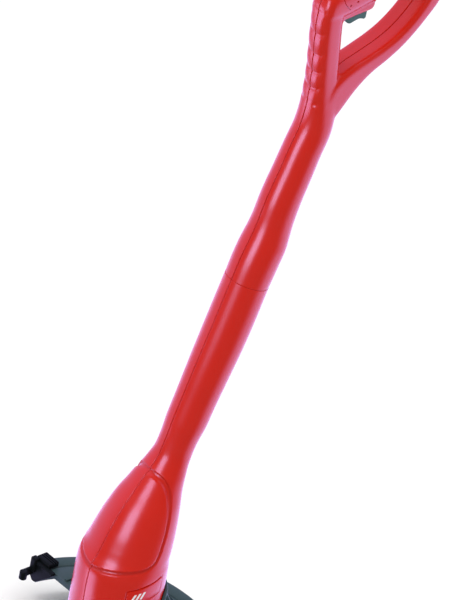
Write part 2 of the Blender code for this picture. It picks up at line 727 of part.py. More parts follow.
def build_fan(spin):
    """A radial fan: a disc with a hub, and blades joined to it."""
    profile = [(BORE_RADIUS, 62), (8, 62), (FAN_RADIUS, 62), (FAN_RADIUS, 64)]
    profile += [(8, 64), (8, 80), (BORE_RADIUS, 80)]
    fan = place("cooling_fan", lathe(profile), "black_plastic", (0, 0, 0), spin)
    blades = 9
    for k in range(blades):
        blade = block(7, FAN_RADIUS - 1, -0.9, 0.9, 63, 77)
        turn = Matrix.Rotation(2 * math.pi * k / blades, 4, "Z")
        blade.transform(turn)
        combine(fan, "UNION", helper(f"fan_blade_{k}", blade))


def build_base_plate():
    plate = place("base_plate", ring_mesh(11, 45.8, 50.6, 54, 40), "black_plastic")
    for k in range(6):
        slot = block(17, 27, -4.5, 4.5, 48, 56)
        slot.transform(Matrix.Rotation(2 * math.pi * (k + 0.5) / 6, 4, "Z"))
        combine(plate, "DIFFERENCE", helper(f"air_outlet_{k}", slot))
    for k in range(3):
        x, y = polar(38.5, 90 + 120 * k)
        boss = helper(f"base_boss_{k}", rod_mesh(4.5, 53, 60, 16))
        boss.location = Vector((x, y, 0)) * MM
        hole = helper(f"base_hole_{k}", rod_mesh(1.9, 45, 59, 12))
        hole.location = Vector((x, y, 0)) * MM
        combine(plate, "UNION", boss)
        combine(plate, "DIFFERENCE", hole)


# ---- Guard -----------------------------------------------------------------------------------------------
def guard_outline(inset=0.0, front=GUARD_FRONT, segments=36):
    """The guard seen from above: a wide rounded back, cut off straight at the front."""
    width, depth = GUARD_HALF_WIDTH - inset, GUARD_DEPTH - inset
    start = math.asin(front / depth)
    outline = []
    for i in range(segments + 1):
        angle = start + (math.pi - 2 * start) * i / segments
        outline.append((width * math.cos(angle), depth * math.sin(angle)))
    return outline


def collar_mesh(columns=30):
    """The wall that hugs the back of the motor casing: low at its ends, tall behind."""
    rings = []
    for k in range(columns + 1):
        around = 5 + 170 * k / columns
        near_end = min(around, 180 - around) - 5
        top = COLLAR_LOW + (COLLAR_HIGH - COLLAR_LOW) * smooth_step(near_end, 0, 30)
        c, s = math.cos(math.radians(around)), math.sin(math.radians(around))
        corners = [(COLLAR_INNER, 44), (COLLAR_OUTER, 44), (COLLAR_OUTER, top), (COLLAR_INNER, top)]
        rings.append([(r * c, r * s, z) for r, z in corners])
    return loft(rings)


def build_guard():
    guard = place("guard", extrude_z(guard_outline(), GUARD_BOTTOM, GUARD_TOP), "dark_plastic")
    inside = guard_outline(GUARD_WALL, GUARD_FRONT - 6)
    inside[0], inside[-1] = (inside[0][0], -40), (inside[-1][0], -40)
    combine(guard, "DIFFERENCE", helper("guard_inside", extrude_z(inside, 0, GUARD_TOP - GUARD_WALL)))
    ring = ring_mesh(GUARD_RING_INNER - 2, GUARD_RING_OUTER, 43.1, 49.7, 36)
    combine(guard, "UNION", helper("guard_ring", ring))
    combine(guard, "DIFFERENCE", helper("guard_hole", rod_mesh(GUARD_RING_INNER, 20, 70, 36)))
    combine(guard, "UNION", helper("guard_collar", collar_mesh()))
    for k, around in enumerate((43, 90, 137)):
        gusset = extrude_x([(COLLAR_OUTER - 0.8, 44), (95, 44), (95, 46.5), (COLLAR_OUTER - 0.8, 108)], 1.75)
        gusset.transform(Matrix.Rotation(math.radians(around - 90), 4, "Z"))
        combine(guard, "UNION", helper(f"guard_gusset_{k}", gusset))
    for k, (x0, x1) in enumerate(((-131, -45), (45, 131))):
        lip = block(x0, x1, GUARD_FRONT, GUARD_FRONT + 2.5, 38.6, 44)
        combine(guard, "UNION", helper(f"guard_lip_{k}", lip))
    for k, (x0, x1) in enumerate(((-92, -88), (-62, -58), (58, 62), (88, 92))):
        combine(guard, "UNION", helper(f"guard_rib_{k}", block(x0, x1, 16, 60, 44, 47.6)))
    for k in range(3):
        x, y = polar(38.5, 90 + 120 * k)
        hole = helper(f"guard_screw_hole_{k}", rod_mesh(2.2, 30, 70, 12))
        hole.location = Vector((x, y, 0)) * MM
        combine(guard, "DIFFERENCE", hole)
        profile = [(0, 41.3), (2.6, 41.3), (3.4, 42.2), (3.4, 42.8), (1.5, 42.8), (1.5, 57), (0, 58)]
        place(f"guard_screw_{k + 1}", lathe(profile, 12), "steel", (x, y, 0))


def build_blade_carrier():
    """The clip at the guard's right end: a slanting plate, a ledge, a ribbed pad, and a knob on an arm."""
    outer, inner = CARRIER_OUTER, CARRIER_INNER
    outline = [(outer, 46.5), (outer, 26), (outer + 4, 21), (outer + 9, 21), (inner, 43.5), (inner, 46.5)]
    carrier = place("blade_carrier", extrude_y(outline, 9.0, 12.4), "black_plastic")
    solids = {
        "end_block": block(outer, outer + 8, 6, 13.4, 33, 51),
        "ledge": block(outer, inner, 8, 13.4, 43.5, 47.5),
        "latch_pad": block(outer + 3, outer + 24, 12, 26, 45.7, 52),
        "clip_arm": block(outer, outer + 4, -5, 10, 28.5, 37.5),
    }
    for name, solid in solids.items():
        combine(carrier, "UNION", helper(name, solid))
    knob = helper("clip_knob", rod_mesh(4.3, 28, 38, 16))
    knob.location = Vector((outer + 4.3, -5, 0)) * MM
    combine(carrier, "UNION", knob)
    for k in range(3):
        y = 17 + 2.9 * k
        combine(carrier, "DIFFERENCE", helper(f"pad_groove_{k}", block(outer, inner, y, y + 1.3, 50.4, 60)))

    cutter = place("line_cutter", block(-123.5, CUTTER_INNER, 36, 37.6, CUTTER_BOTTOM, 42.5), "steel")
    combine(cutter, "UNION", helper("cutter_foot", block(-123.5, -113, 17.5, 37, 41, 42.5)))
    hole = helper("cutter_screw_hole", rod_mesh(1.7, 38, 49.8, 12))
    hole.location = Vector((-118.5, 22, 0)) * MM
    for obj in (carrier, cutter, bpy.data.objects["guard"]):
        combine(obj, "DIFFERENCE", hole)
    profile = [(0, 38.6), (2.4, 38.6), (3.0, 39.4), (3.0, 40.7), (1.3, 40.7), (1.3, 48.2), (0, 49.2)]
    place("cutter_screw", lathe(profile, 12), "steel", (-118.5, 22, 0))


# ---- Line head -------------------------------------------------------------------------------------------
def build_head(spin, bump, feed):
    """The hub, its cap and the eyelets spin together. The knob slides in them, and the spool turns on it."""
    profile = [(BORE_RADIUS, 31.5), (9, 31.5), (9, 37.8), (34.5, 37.8), (34.5, 18), (HUB_RADIUS, 18)]
    profile += [(HUB_RADIUS, 39), (36, HUB_TOP), (9, HUB_TOP), (9, 47), (BORE_RADIUS, 47)]
    hub = place("spool_hub", lathe(profile, 32), "dark_plastic", (0, 0, 0), spin)
    profile = [(KNOB_RADIUS + 1, 10), (CAP_RADIUS - 3, 10), (CAP_RADIUS, 12), (CAP_RADIUS, 22)]
    profile += [(HUB_RADIUS + GAP, 22), (HUB_RADIUS + GAP, 17.6), (34.5, 17.6)]
    profile += [(34.5, 12.4), (KNOB_RADIUS + 1, 12.4)]
    place("spool_cap", lathe(profile, 32), "black_plastic", (0, 0, 0), spin)
    for side, word in ((1, "a"), (-1, "b")):
        x0, x1 = sorted((side * 30, side * 44))
        hole = helper(f"eyelet_hole_{word}", along_x(rod_mesh(3.1, x0, x1), 0, EYELET_HEIGHT))
        hole.data.transform(HEAD_TURN)
        combine(hub, "DIFFERENCE", hole)
        profile = [(1.5, 34.0), (2.8, 34.0), (2.8, 38.3), (4.4, 38.3), (4.4, 39.5), (1.5, 39.5)]
        eyelet = lathe([(r, side * x) for r, x in profile], 16)
        eyelet = along_x(eyelet, 0, 0)
        eyelet.transform(HEAD_TURN)
        place(f"line_eyelet_{word}", eyelet, "brass", (0, 0, EYELET_HEIGHT), spin)
        build_line_end(word, side, spin)

    profile = [(0, 0), (13, 0), (KNOB_RADIUS - 0.6, 3), (KNOB_RADIUS, 9), (KNOB_RADIUS, 12.8), (21, 12.8)]
    profile += [(21, 14.6), (12, 14.6), (12, 27), (9.6, 27), (9.6, 8), (0, 8)]
    place("bump_knob", lathe(profile), "grey_plastic", (0, 0, 0), bump)
    place("bump_spring", spring_mesh(6.6, 0.6, 8.4, 31.2, 5), "steel", (0, 0, 0), bump)
    profile = [(12.4, 15), (33, 15), (33, 16.8), (15, 16.8), (15, 30), (33, 30), (33, 31.8), (12.4, 31.8)]
    place("line_spool", lathe(profile, 28), "grey_plastic", (0, 0, 0), feed)
    profile = [(15.3, 17.2), (27, 17.2), (28.4, 20), (28.4, 27), (27, 29.6), (15.3, 29.6)]
    place("line_winding", lathe(profile, 28), "nylon_line", (0, 0, 0), feed)


def build_line_end(word, side, spin):
    """One free end of the line: it leaves its eyelet straight, then trails and droops a little."""
    samples = 10
    start, length = 34.6, LINE_REACH - 34.6
    curve = bpy.data.curves.new(f"line_end_{word}", "CURVE")
    curve.dimensions = "3D"
    curve.bevel_depth = LINE_RADIUS * MM
    curve.bevel_resolution = 1
    curve.use_fill_caps = True
    spline = curve.splines.new("POLY")
    spline.points.add(samples)
    for k in range(samples + 1):
        share = k / samples
        trail = 13 * share**2
        droop = 0.6 * share**2
        x = start + (length - 0.8) * share
        spot = HEAD_TURN @ Vector((side * x, -side * trail, EYELET_HEIGHT - droop)) * MM
        spline.points[k].co = (*spot, 1)
    curve.materials.append(material("nylon_line"))
    end = bpy.data.objects.new(f"line_end_{word}", curve)
    bpy.context.scene.collection.objects.link(end)
    end.parent = spin


# ---- Label -----------------------------------------------------------------------------------------------
def build_label():
    """A thin curved plate on the user's left, slanting up towards the back."""
    inner, outer = 49.3, 49.9
    columns = 10
    rings = []
    for k in range(columns + 1):
        share = k / columns
        around = math.radians(LABEL_FRONT + (LABEL_REAR - LABEL_FRONT) * share)
        bottom = LABEL_BOTTOM + LABEL_RISE * share
        top = bottom + LABEL_HEIGHT
        corner = [(inner, bottom), (outer, bottom), (outer, top), (inner, top)]
        rings.append([(r * math.cos(around), r * math.sin(around), z) for r, z in corner])
    place("side_label", loft(rings), "label")


def main():
    clear_scene()
    pivots = {}
    for name, height in (("spin_axis", 0.0), ("bump_axis", 0.0), ("feed_axis", 0.0)):
        pivots[name] = bpy.data.objects.new(name, None)
        pivots[name].location = Vector((0, 0, height)) * MM
        bpy.context.scene.collection.objects.link(pivots[name])
    build_motor_casing()
    build_handle_casing()
    build_inlet()
    build_trigger()
    build_switch()
    build_inner_lead()
    build_motor(pivots["spin_axis"])
    build_fan(pivots["spin_axis"])
    build_base_plate()
    build_guard()
    build_blade_carrier()
    build_head(pivots["spin_axis"], pivots["bump_axis"], pivots["feed_axis"])
    build_label()


main()
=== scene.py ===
import json
import math

import bmesh
import bpy
import numpy as np
from mathutils import Matrix, Vector


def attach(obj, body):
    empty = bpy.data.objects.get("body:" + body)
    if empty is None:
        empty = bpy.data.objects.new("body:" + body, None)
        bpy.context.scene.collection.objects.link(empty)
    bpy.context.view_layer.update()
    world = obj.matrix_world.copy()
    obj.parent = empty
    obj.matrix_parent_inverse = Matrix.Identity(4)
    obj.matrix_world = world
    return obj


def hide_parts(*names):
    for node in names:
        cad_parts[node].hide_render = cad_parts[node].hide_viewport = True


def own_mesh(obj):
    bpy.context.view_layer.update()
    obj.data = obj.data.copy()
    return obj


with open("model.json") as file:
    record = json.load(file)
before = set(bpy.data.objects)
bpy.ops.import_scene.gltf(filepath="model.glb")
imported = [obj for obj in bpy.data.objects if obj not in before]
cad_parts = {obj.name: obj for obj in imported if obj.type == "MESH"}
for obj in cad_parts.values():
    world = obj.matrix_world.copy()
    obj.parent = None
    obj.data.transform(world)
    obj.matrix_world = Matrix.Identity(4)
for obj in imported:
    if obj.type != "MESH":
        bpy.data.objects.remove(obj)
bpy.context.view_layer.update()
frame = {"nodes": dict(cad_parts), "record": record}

# Lengths are in millimetres until a mesh is made. The axes are the CAD's: +Z up the motor, -Y the front.
MM = 0.001
TURNED_SHARP_OVER = 40  # degrees
COLOURS = {
    "red": (0.575, 0.011, 0.002),
    "guard": (0.048, 0.078, 0.086),
    "black": (0.006, 0.008, 0.009),
    "trigger": (0.060, 0.130, 0.118),
    "knob": (0.075, 0.12, 0.12),
}


# ---- Numbers ----
def smooth_step(value, low, high):
    share = np.clip((np.asarray(value, float) - low) / (high - low), 0, 1)
    return share * share * (3 - 2 * share)


def through(xs, ys, at):
    """A smooth curve through the points (xs, ys), read at the places given."""
    xs, ys, at = np.asarray(xs, float), np.asarray(ys, float), np.asarray(at, float)
    slopes = np.gradient(ys, xs)
    k = np.clip(np.searchsorted(xs, at) - 1, 0, len(xs) - 2)
    gap = xs[k + 1] - xs[k]
    t = (at - xs[k]) / gap
    start, end = ys[k], ys[k + 1]
    bend_in, bend_out = slopes[k] * gap, slopes[k + 1] * gap
    return (
        (2 * t**3 - 3 * t**2 + 1) * start
        + (t**3 - 2 * t**2 + t) * bend_in
        + (3 * t**2 - 2 * t**3) * end
        + (t**3 - t**2) * bend_out
    )


def resample(stations, count):
    """Stations read evenly along a smooth path through them."""
    table = np.asarray(stations, float)
    along = np.concatenate([[0], np.cumsum(np.linalg.norm(np.diff(table[:, :2], axis=0), axis=1))])
    at = np.linspace(0, along[-1], count)
    return np.stack([through(along, table[:, c], at) for c in range(table.shape[1])], axis=1)


def distance_to_outline(u, v, outline):
    """Signed distance from points to a closed outline: negative inside."""
    points = np.stack([np.ravel(u), np.ravel(v)], axis=1)
    best = np.full(len(points), 1e9)
    inside = np.zeros(len(points), bool)
    for a, b in zip(outline, np.roll(outline, -1, axis=0)):
        edge = b - a
        t = np.clip(((points - a) @ edge) / max(edge @ edge, 1e-12), 0, 1)
        best = np.minimum(best, np.linalg.norm(points - a - t[:, None] * edge, axis=1))
        crosses = (a[1] > points[:, 1]) != (b[1] > points[:, 1])
        if a[1] != b[1]:
            reach = a[0] + (points[:, 1] - a[1]) * edge[0] / edge[1]
            inside ^= crosses & (points[:, 0] < reach)
    return np.where(inside, -best, best).reshape(np.shape(u))


def distance_to_slot(u, v, u0, u1, v0, half_height):
    """Signed distance to a round-ended slot that runs from u0 to u1 at v0."""
    across = np.clip(u, u0, u1)
    return np.hypot(u - across, v - v0) - half_height


# ---- Meshes ----
def link(name, mesh):
    obj = bpy.data.objects.new(name, mesh)
    bpy.context.scene.collection.objects.link(obj)
    return obj


def shaded(mesh, sharp_over=None):
    """Smooth shading, with the edges kept sharp that turn by more than the angle given in degrees."""
    mesh.shade_smooth()
    if sharp_over:
        mesh.set_sharp_from_angle(angle=math.radians(sharp_over))
    return mesh


def mesh_from(points, faces, sharp_over=None):
    mesh = bpy.data.meshes.new("mesh")
    mesh.from_pydata((np.asarray(points, float) * MM).tolist(), [], faces)
    work = bmesh.new()
    work.from_mesh(mesh)
    bmesh.ops.remove_doubles(work, verts=work.verts, dist=1e-7)
    bmesh.ops.recalc_face_normals(work, faces=work.faces)
    work.to_mesh(mesh)
    work.free()
    return shaded(mesh, sharp_over)


def grid_faces(rows, columns, closed=False):
    faces = []
    for r in range(rows - 1):
        for c in range(columns if closed else columns - 1):
            d = (c + 1) % columns
            faces.append((r * columns + c, r * columns + d, (r + 1) * columns + d, (r + 1) * columns + c))
    return faces


def loft(rings, sharp_over=None):
    """A closed skin through rings of points, with a flat cap at each end."""
    rings = np.asarray(rings, float)
    rows, columns = rings.shape[:2]
    faces = grid_faces(rows, columns, closed=True)
    faces.append(tuple(range(columns))[::-1])
    faces.append(tuple((rows - 1) * columns + c for c in range(columns)))
    return mesh_from(rings.reshape(-1, 3), faces, sharp_over)


def circle(radius, height, segments, shape=None):
    """A ring of points about Z. shape(angles, radii, height) may change the radii."""
    angles = np.linspace(0, 2 * math.pi, segments, endpoint=False)
    radii = np.full(segments, float(radius))
    if shape:
        radii = shape(angles, radii, height)
    return np.stack([radii * np.cos(angles), radii * np.sin(angles), np.full(segments, height)], axis=1)


def lathe(profile, segments=64, shape=None):
    """Turns a closed (radius, height) outline about Z."""
    rows = [circle(radius, height, segments, shape) for radius, height in profile]
    rows.append(rows[0])
    points = np.concatenate(rows)
    return mesh_from(points, grid_faces(len(rows), segments, closed=True), TURNED_SHARP_OVER)


def lathe_solid(sides, segments=32):
    """A closed turned solid about Z from (radius, height) points, capped at both ends."""
    return loft([circle(radius, height, segments) for radius, height in sides], TURNED_SHARP_OVER)


def rounded_profile(corners, radius, steps=3):
    """A closed outline with its corners rounded, except on the axis and where two points coincide."""
    corners = [Vector(c) for c in corners]
    out = []
    for k, corner in enumerate(corners):
        before, after = corners[k - 1] - corner, corners[(k + 1) % len(corners)] - corner
        if corner.x == 0 or min(before.length, after.length) < 1e-6:
            out.append(tuple(corner))
            continue
        cut = min(radius, 0.45 * before.length, 0.45 * after.length)
        start, end = corner + before.normalized() * cut, corner + after.normalized() * cut
        for i in range(steps + 1):
            t = i / steps
            out.append(tuple((1 - t) ** 2 * start + 2 * t * (1 - t) * corner + t**2 * end))
    return out


def box_mesh(x0, x1, y0, y1, z0, z1, round_by=0.0, steps=2):
    corners = [(x, y, z) for z in (z0, z1) for x, y in ((x0, y0), (x1, y0), (x1, y1), (x0, y1))]
    faces = [(3, 2, 1, 0), (4, 5, 6, 7), (0, 1, 5, 4), (1, 2, 6, 5), (2, 3, 7, 6), (3, 0, 4, 7)]
    mesh = mesh_from(corners, faces)
    if round_by:
        work = bmesh.new()
        work.from_mesh(mesh)
        settings = {"offset": round_by * MM, "segments": steps, "profile": 0.5, "affect": "EDGES"}
        bmesh.ops.bevel(work, geom=list(work.edges), clamp_overlap=True, **settings)
        work.to_mesh(mesh)
        work.free()
        shaded(mesh)
    return mesh


def moved(mesh, x=0.0, y=0.0, z=0.0, turn=None):
    matrix = Matrix.Translation(Vector((x, y, z)) * MM)
    mesh.transform(matrix @ turn.to_4x4() if turn else matrix)
    return mesh


def baked(mesh, steps):
    """The mesh after modifiers, each given as (type, settings)."""
    obj = link("baking", mesh)
    helpers = []
    for kind, settings in steps:
        step = obj.modifiers.new(kind, kind)
        for key, value in settings.items():
            if key == "object":
                value = link("cutter", value)
                helpers.append(value)
            setattr(step, key, value)
    bpy.context.view_layer.update()
    shown = obj.evaluated_get(bpy.context.evaluated_depsgraph_get())
    result = bpy.data.meshes.new_from_object(shown)
    for used in (obj, *helpers):
        bpy.data.objects.remove(used)
    return result


def merged(meshes, operation="UNION"):
    first, *others = meshes
    settings = {"operation": operation, "solver": "MANIFOLD"}
    return baked(first, [("BOOLEAN", {**settings, "object": other}) for other in others])


def joined(meshes):
    """Several meshes as one, without a Boolean."""
    work = bmesh.new()
    for mesh in meshes:
        work.from_mesh(mesh)
    result = bpy.data.meshes.new("joined")
    work.to_mesh(result)
    work.free()
    return shaded(result, TURNED_SHARP_OVER)


def piece(name, mesh, body, slot, *nodes, look=None):
    """A finished visible piece, with the CAD nodes that it stands for. Its look is its slot's by default."""
    obj = link(name, mesh)
    mesh.materials.clear()
    mesh.materials.append(LOOKS[look or slot])
    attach(obj, body)
    if nodes:
        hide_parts(*nodes)
    return obj


# ---- Materials ----
def node_of(tree, kind, **inputs):
    node = tree.nodes.new(kind)
    for name, value in inputs.items():
        node.inputs[name].default_value = value
    return node


def new_look(name):
    """A material, its node tree and its shader."""
    look = bpy.data.materials.new(name)
    look.use_nodes = True
    return look, look.node_tree, look.node_tree.nodes["Principled BSDF"]


def noise(tree, place, scale, detail):
    texture = node_of(tree, "ShaderNodeTexNoise", Scale=scale, Detail=detail)
    tree.links.new(place, texture.inputs["Vector"])
    return texture.outputs["Fac"]


def vary_colour(tree, shader, pattern, colour, tone):
    """The colour, a share darker and lighter by turns."""
    mix = tree.nodes.new("ShaderNodeMix")
    mix.data_type = "RGBA"
    mix.inputs[6].default_value = (*[c * (1 - tone) for c in colour], 1)
    mix.inputs[7].default_value = (*[min(1.0, c * (1 + tone)) for c in colour], 1)
    tree.links.new(pattern, mix.inputs["Factor"])
    tree.links.new(mix.outputs[2], shader.inputs["Base Color"])


def vary_gloss(tree, shader, pattern, smoothest, roughest):
    gloss = node_of(tree, "ShaderNodeMapRange", **{"To Min": smoothest, "To Max": roughest})
    tree.links.new(pattern, gloss.inputs["Value"])
    tree.links.new(gloss.outputs["Result"], shader.inputs["Roughness"])


def raise_by(tree, pattern, strength, depth):
    bump = node_of(tree, "ShaderNodeBump", Strength=strength, Distance=depth * MM)
    tree.links.new(pattern, bump.inputs["Height"])
    return bump


def moulded(name, colour, roughness, spread=0.05, grain=700.0, depth=0.02, tone=0.12, **shader_values):
    """Moulded plastic: a slightly uneven colour and gloss, over a fine grain and a faint long ripple."""
    look, tree, shader = new_look(name)
    for key, value in shader_values.items():
        shader.inputs[key.replace("_", " ")].default_value = value
    place = tree.nodes.new("ShaderNodeTexCoord").outputs["Object"]
    vary_colour(tree, shader, noise(tree, place, 9.0, 4.0), colour, tone)
    vary_gloss(tree, shader, noise(tree, place, 55.0, 5.0), max(0.02, roughness - spread), roughness + spread)
    ripple = raise_by(tree, noise(tree, place, 60.0, 1.0), 0.04, 1.0)
    bump = raise_by(tree, noise(tree, place, grain, 2.0), 0.5, depth)
    tree.links.new(ripple.outputs["Normal"], bump.inputs["Normal"])
    tree.links.new(bump.outputs["Normal"], shader.inputs["Normal"])
    return look


def metal(name, colour, roughness, stretch=(1, 1, 40), scale=120.0, depth=0.01, tone=0.1):
    """Metal with fine drawn lines: stretch is how much finer the pattern is along each axis."""
    look, tree, shader = new_look(name)
    shader.inputs["Metallic"].default_value = 1.0
    place = tree.nodes.new("ShaderNodeTexCoord").outputs["Object"]
    mapping = node_of(tree, "ShaderNodeMapping", Scale=stretch)
    tree.links.new(place, mapping.inputs["Vector"])
    lines = noise(tree, mapping.outputs["Vector"], scale, 6.0)
    vary_colour(tree, shader, lines, colour, tone)
    vary_gloss(tree, shader, lines, roughness - 0.08, roughness + 0.1)
    bump = raise_by(tree, lines, 0.4, depth)
    tree.links.new(bump.outputs["Normal"], shader.inputs["Normal"])
    return look


DULL = {"Specular_IOR_Level": 0.06}
LOOKS = {
    "red_plastic": moulded("red_plastic", COLOURS["red"], 0.25, 0.03, 900, 0.004, 0.05),
    "dark_plastic": moulded("dark_plastic", COLOURS["guard"], 0.42, 0.05, 1100, 0.03, **DULL),
    "black_plastic": moulded("black_plastic", COLOURS["black"], 0.48, 0.06, 1100, 0.03, **DULL),
    "grey_plastic": moulded("grey_plastic", COLOURS["trigger"], 0.38, 0.05, 1000, 0.02, **DULL),
    "knob_plastic": moulded("knob_plastic", COLOURS["knob"], 0.45, 0.06, 900, 0.04, **DULL),
    "rubber": moulded("rubber", (0.014, 0.014, 0.015), 0.62, 0.08, 700, 0.05),
    "label": moulded("label", COLOURS["red"], 0.2, 0.03, 900, 0.004, 0.05),
    "capacitor": moulded("capacitor", (0.62, 0.50, 0.07), 0.4),
    "carbon": moulded("carbon", (0.022, 0.022, 0.024), 0.6, 0.1, 500, 0.05),
    "nylon_line": moulded("nylon_line", (0.72, 0.74, 0.70), 0.3, 0.05, 500, 0.01, Subsurface_Weight=0.2),
    "steel": metal("steel", (0.56, 0.57, 0.59), 0.28),
    "blade_steel": metal("blade_steel", (0.50, 0.51, 0.53), 0.26, (40, 1, 1)),
    "laminations": metal("laminations", (0.26, 0.26, 0.28), 0.42, (1, 1, 60), 90),
    "brass": metal("brass", (0.72, 0.52, 0.20), 0.3),
    "copper": metal("copper", (0.62, 0.25, 0.10), 0.34, (1, 1, 50), 100, 0.03),
    "white_print": moulded("white_print", (0.80, 0.74, 0.75), 0.35, 0.03, 800, 0.004, 0.03),
}


def dress_frame():
    """Every CAD node that stays gets the material of its slot."""
    for row in frame["record"]["subparts"]:
        obj = frame["nodes"][row["node"]]
        look = LOOKS[row["material_slot"]]
        if not obj.material_slots:
            obj.data.materials.append(look)
        for holder in obj.material_slots:
            holder.material = look


# ---- Motor half of the casing ----
SHAFT_LEAN = math.radians(16.9)
LEAN_STARTS, LEAN_ENDS = 246.0, 327.0
JOINT_HEIGHT = 470.0
SEAM_HALF_GAP = 0.2
EDGE_REACH, EDGE_DROP = 0.8, 0.45  # the rounded edge along the handle's seam
LIP = 2.5  # how far the edges turn in
# (height, set-back of the centre, radius)
MOTOR_CASING = [(50, 0.0, 47.4), (53, 0.0, 48.6), (60, 0.0, 48.8), (100, 0.0, 49.0), (134, 0.0, 48.8)]
MOTOR_CASING += [(144, 0.4, 48.3), (152, 1.5, 47.0), (160, 5.0, 45.5), (172, 8.5, 43.7)]
MOTOR_CASING += [(186, 12.2, 41.4), (199, 16.0, 38.7), (214, 20.6, 34.9), (230, 27.0, 29.8)]
MOTOR_CASING += [(246, 34, 25.6), (257, 39.2, 22.8), (268, 44.6, 20.9), (281, 48.9, 20.6)]
MOTOR_CASING += [(304, 56.4, 22.2), (327, 63.4, 22.6), (362, 74.4, 23.7), (398, 86, 24.7)]
MOTOR_CASING += [(432, 96.2, 25), (470, 106.8, 24.8)]
# (angle from the front in degrees, height): half of the raised panel's edge, from its foot to its crown.
PANEL_EDGE = [(0, 148), (23, 150.5), (49, 153.5), (68, 156), (78, 158.5), (84, 162), (87.5, 168)]
PANEL_EDGE += [(89.5, 178), (91, 194.5), (88.5, 215.5), (75, 234.6), (54, 245.7), (22, 251.5)]
PANEL_EDGE += [(0, 252.2)]
GROOVE_HALF, GROOVE_WALL, GROOVE_DEPTH = 1.5, 1.1, 2.1
SCREW_RADIUS, SCREW_SINK = 3.6, 6.0
# (set-back, height, half width of the casing there)
MOTOR_SCREWS = [(-37.0, 70.0, 27.0), (37.0, 70.0, 27.0), (45.0, 210.0, 24.0), (65.0, 332.0, 22.6)]
MOTOR_SCREWS += [(93.5, 424.0, 24.8)]
VENT_HEIGHTS = [151.6 + 9 * k for k in range(4)]
VENT_NEAR, VENT_FAR, VENT_HALF_HEIGHT = 7.5, 22.5, 1.5  # round the casing from the middle of its back
PANEL_RAISED, VENT_DEPTH, LABEL_POCKET = 0.7, 7.0, 1.0
# The label runs between two angles from the front, in degrees, and rises towards the rear.
LABEL_FRONT, LABEL_REAR = 55.0, 108.0
LABEL_LOW, LABEL_RISE, LABEL_HEIGHT = 112.5, 10.5, 20.5
LABEL_RADIUS, LABEL_BACK, LABEL_MARGIN = 49.25, 47.6, 0.85
MM_PER_DEGREE = 0.85  # round the casing, at the label


def label_bottom(degrees):
    return LABEL_LOW + LABEL_RISE * (degrees - LABEL_FRONT) / (LABEL_REAR - LABEL_FRONT)


def panel_distance(arc, height, radius):
    """Signed distance to the raised panel's edge, on the unrolled surface."""
    half = resample(PANEL_EDGE, 60)
    mirrored = half[::-1] * [-1, 1]
    outline = np.concatenate([half, mirrored[1:-1]])
    scale = np.interp(outline[:, 1], height[:, 0], radius[:, 0])
    unrolled = np.stack([np.radians(outline[:, 0]) * scale, outline[:, 1]], axis=1)
    return distance_to_outline(arc, height, unrolled)


def motor_relief(side, angle, height, radius):
    """How far each point of the motor half is pushed in (mm)."""
    arc = angle * radius
    near = panel_distance(arc, height, radius)
    depth = GROOVE_DEPTH * (1 - smooth_step(np.abs(near), GROOVE_HALF, GROOVE_HALF + GROOVE_WALL))
    depth -= PANEL_RAISED * (1 - smooth_step(near, -2.6, -1.2))
    from_back = (math.pi - angle) * radius
    for vent in VENT_HEIGHTS:
        slot = distance_to_slot(from_back, height, VENT_NEAR, VENT_FAR, vent, VENT_HALF_HEIGHT)
        depth += VENT_DEPTH * (1 - smooth_step(slot, -0.5, 0.5))
    if side > 0:
        degrees = np.degrees(angle)
        low = label_bottom(degrees)
        inside = np.minimum(height - low, low + LABEL_HEIGHT - height)
        across = np.minimum(degrees - LABEL_FRONT, LABEL_REAR - degrees) * MM_PER_DEGREE
        depth += LABEL_POCKET * smooth_step(np.minimum(inside, across), -0.6, 0.6)
    return depth


def sink_screws(across, y, height):
    """Distances from the centre plane, cut down to a flat seat inside each screw's hole."""
    for screw_y, screw_z, half_width in MOTOR_SCREWS:
        reach = np.hypot(y - screw_y, height - screw_z)
        inside = 1 - smooth_step(reach, SCREW_RADIUS - 0.5, SCREW_RADIUS + 0.3)
        across = across * (1 - inside) + np.minimum(across, half_width - SCREW_SINK) * inside
    return across


def row_heights():
    """Rows of points up the motor casing: close together at its screws, vents, label and panel."""
    coarse_low = np.arange(50, 96, 2.5)
    fine = np.arange(96, 262, 0.9)
    upper = np.concatenate([np.arange(262, JOINT_HEIGHT, 3.0), [JOINT_HEIGHT]])
    close_low = np.arange(64, 76, 0.9)
    around_screws = [np.arange(z - 6, z + 6, 0.9) for _, z, _ in MOTOR_SCREWS[-2:]]
    rows = np.unique(np.round(np.concatenate([coarse_low, close_low, fine, upper, *around_screws]), 2))
    return rows[np.concatenate([[True], np.diff(rows) > 0.3])]


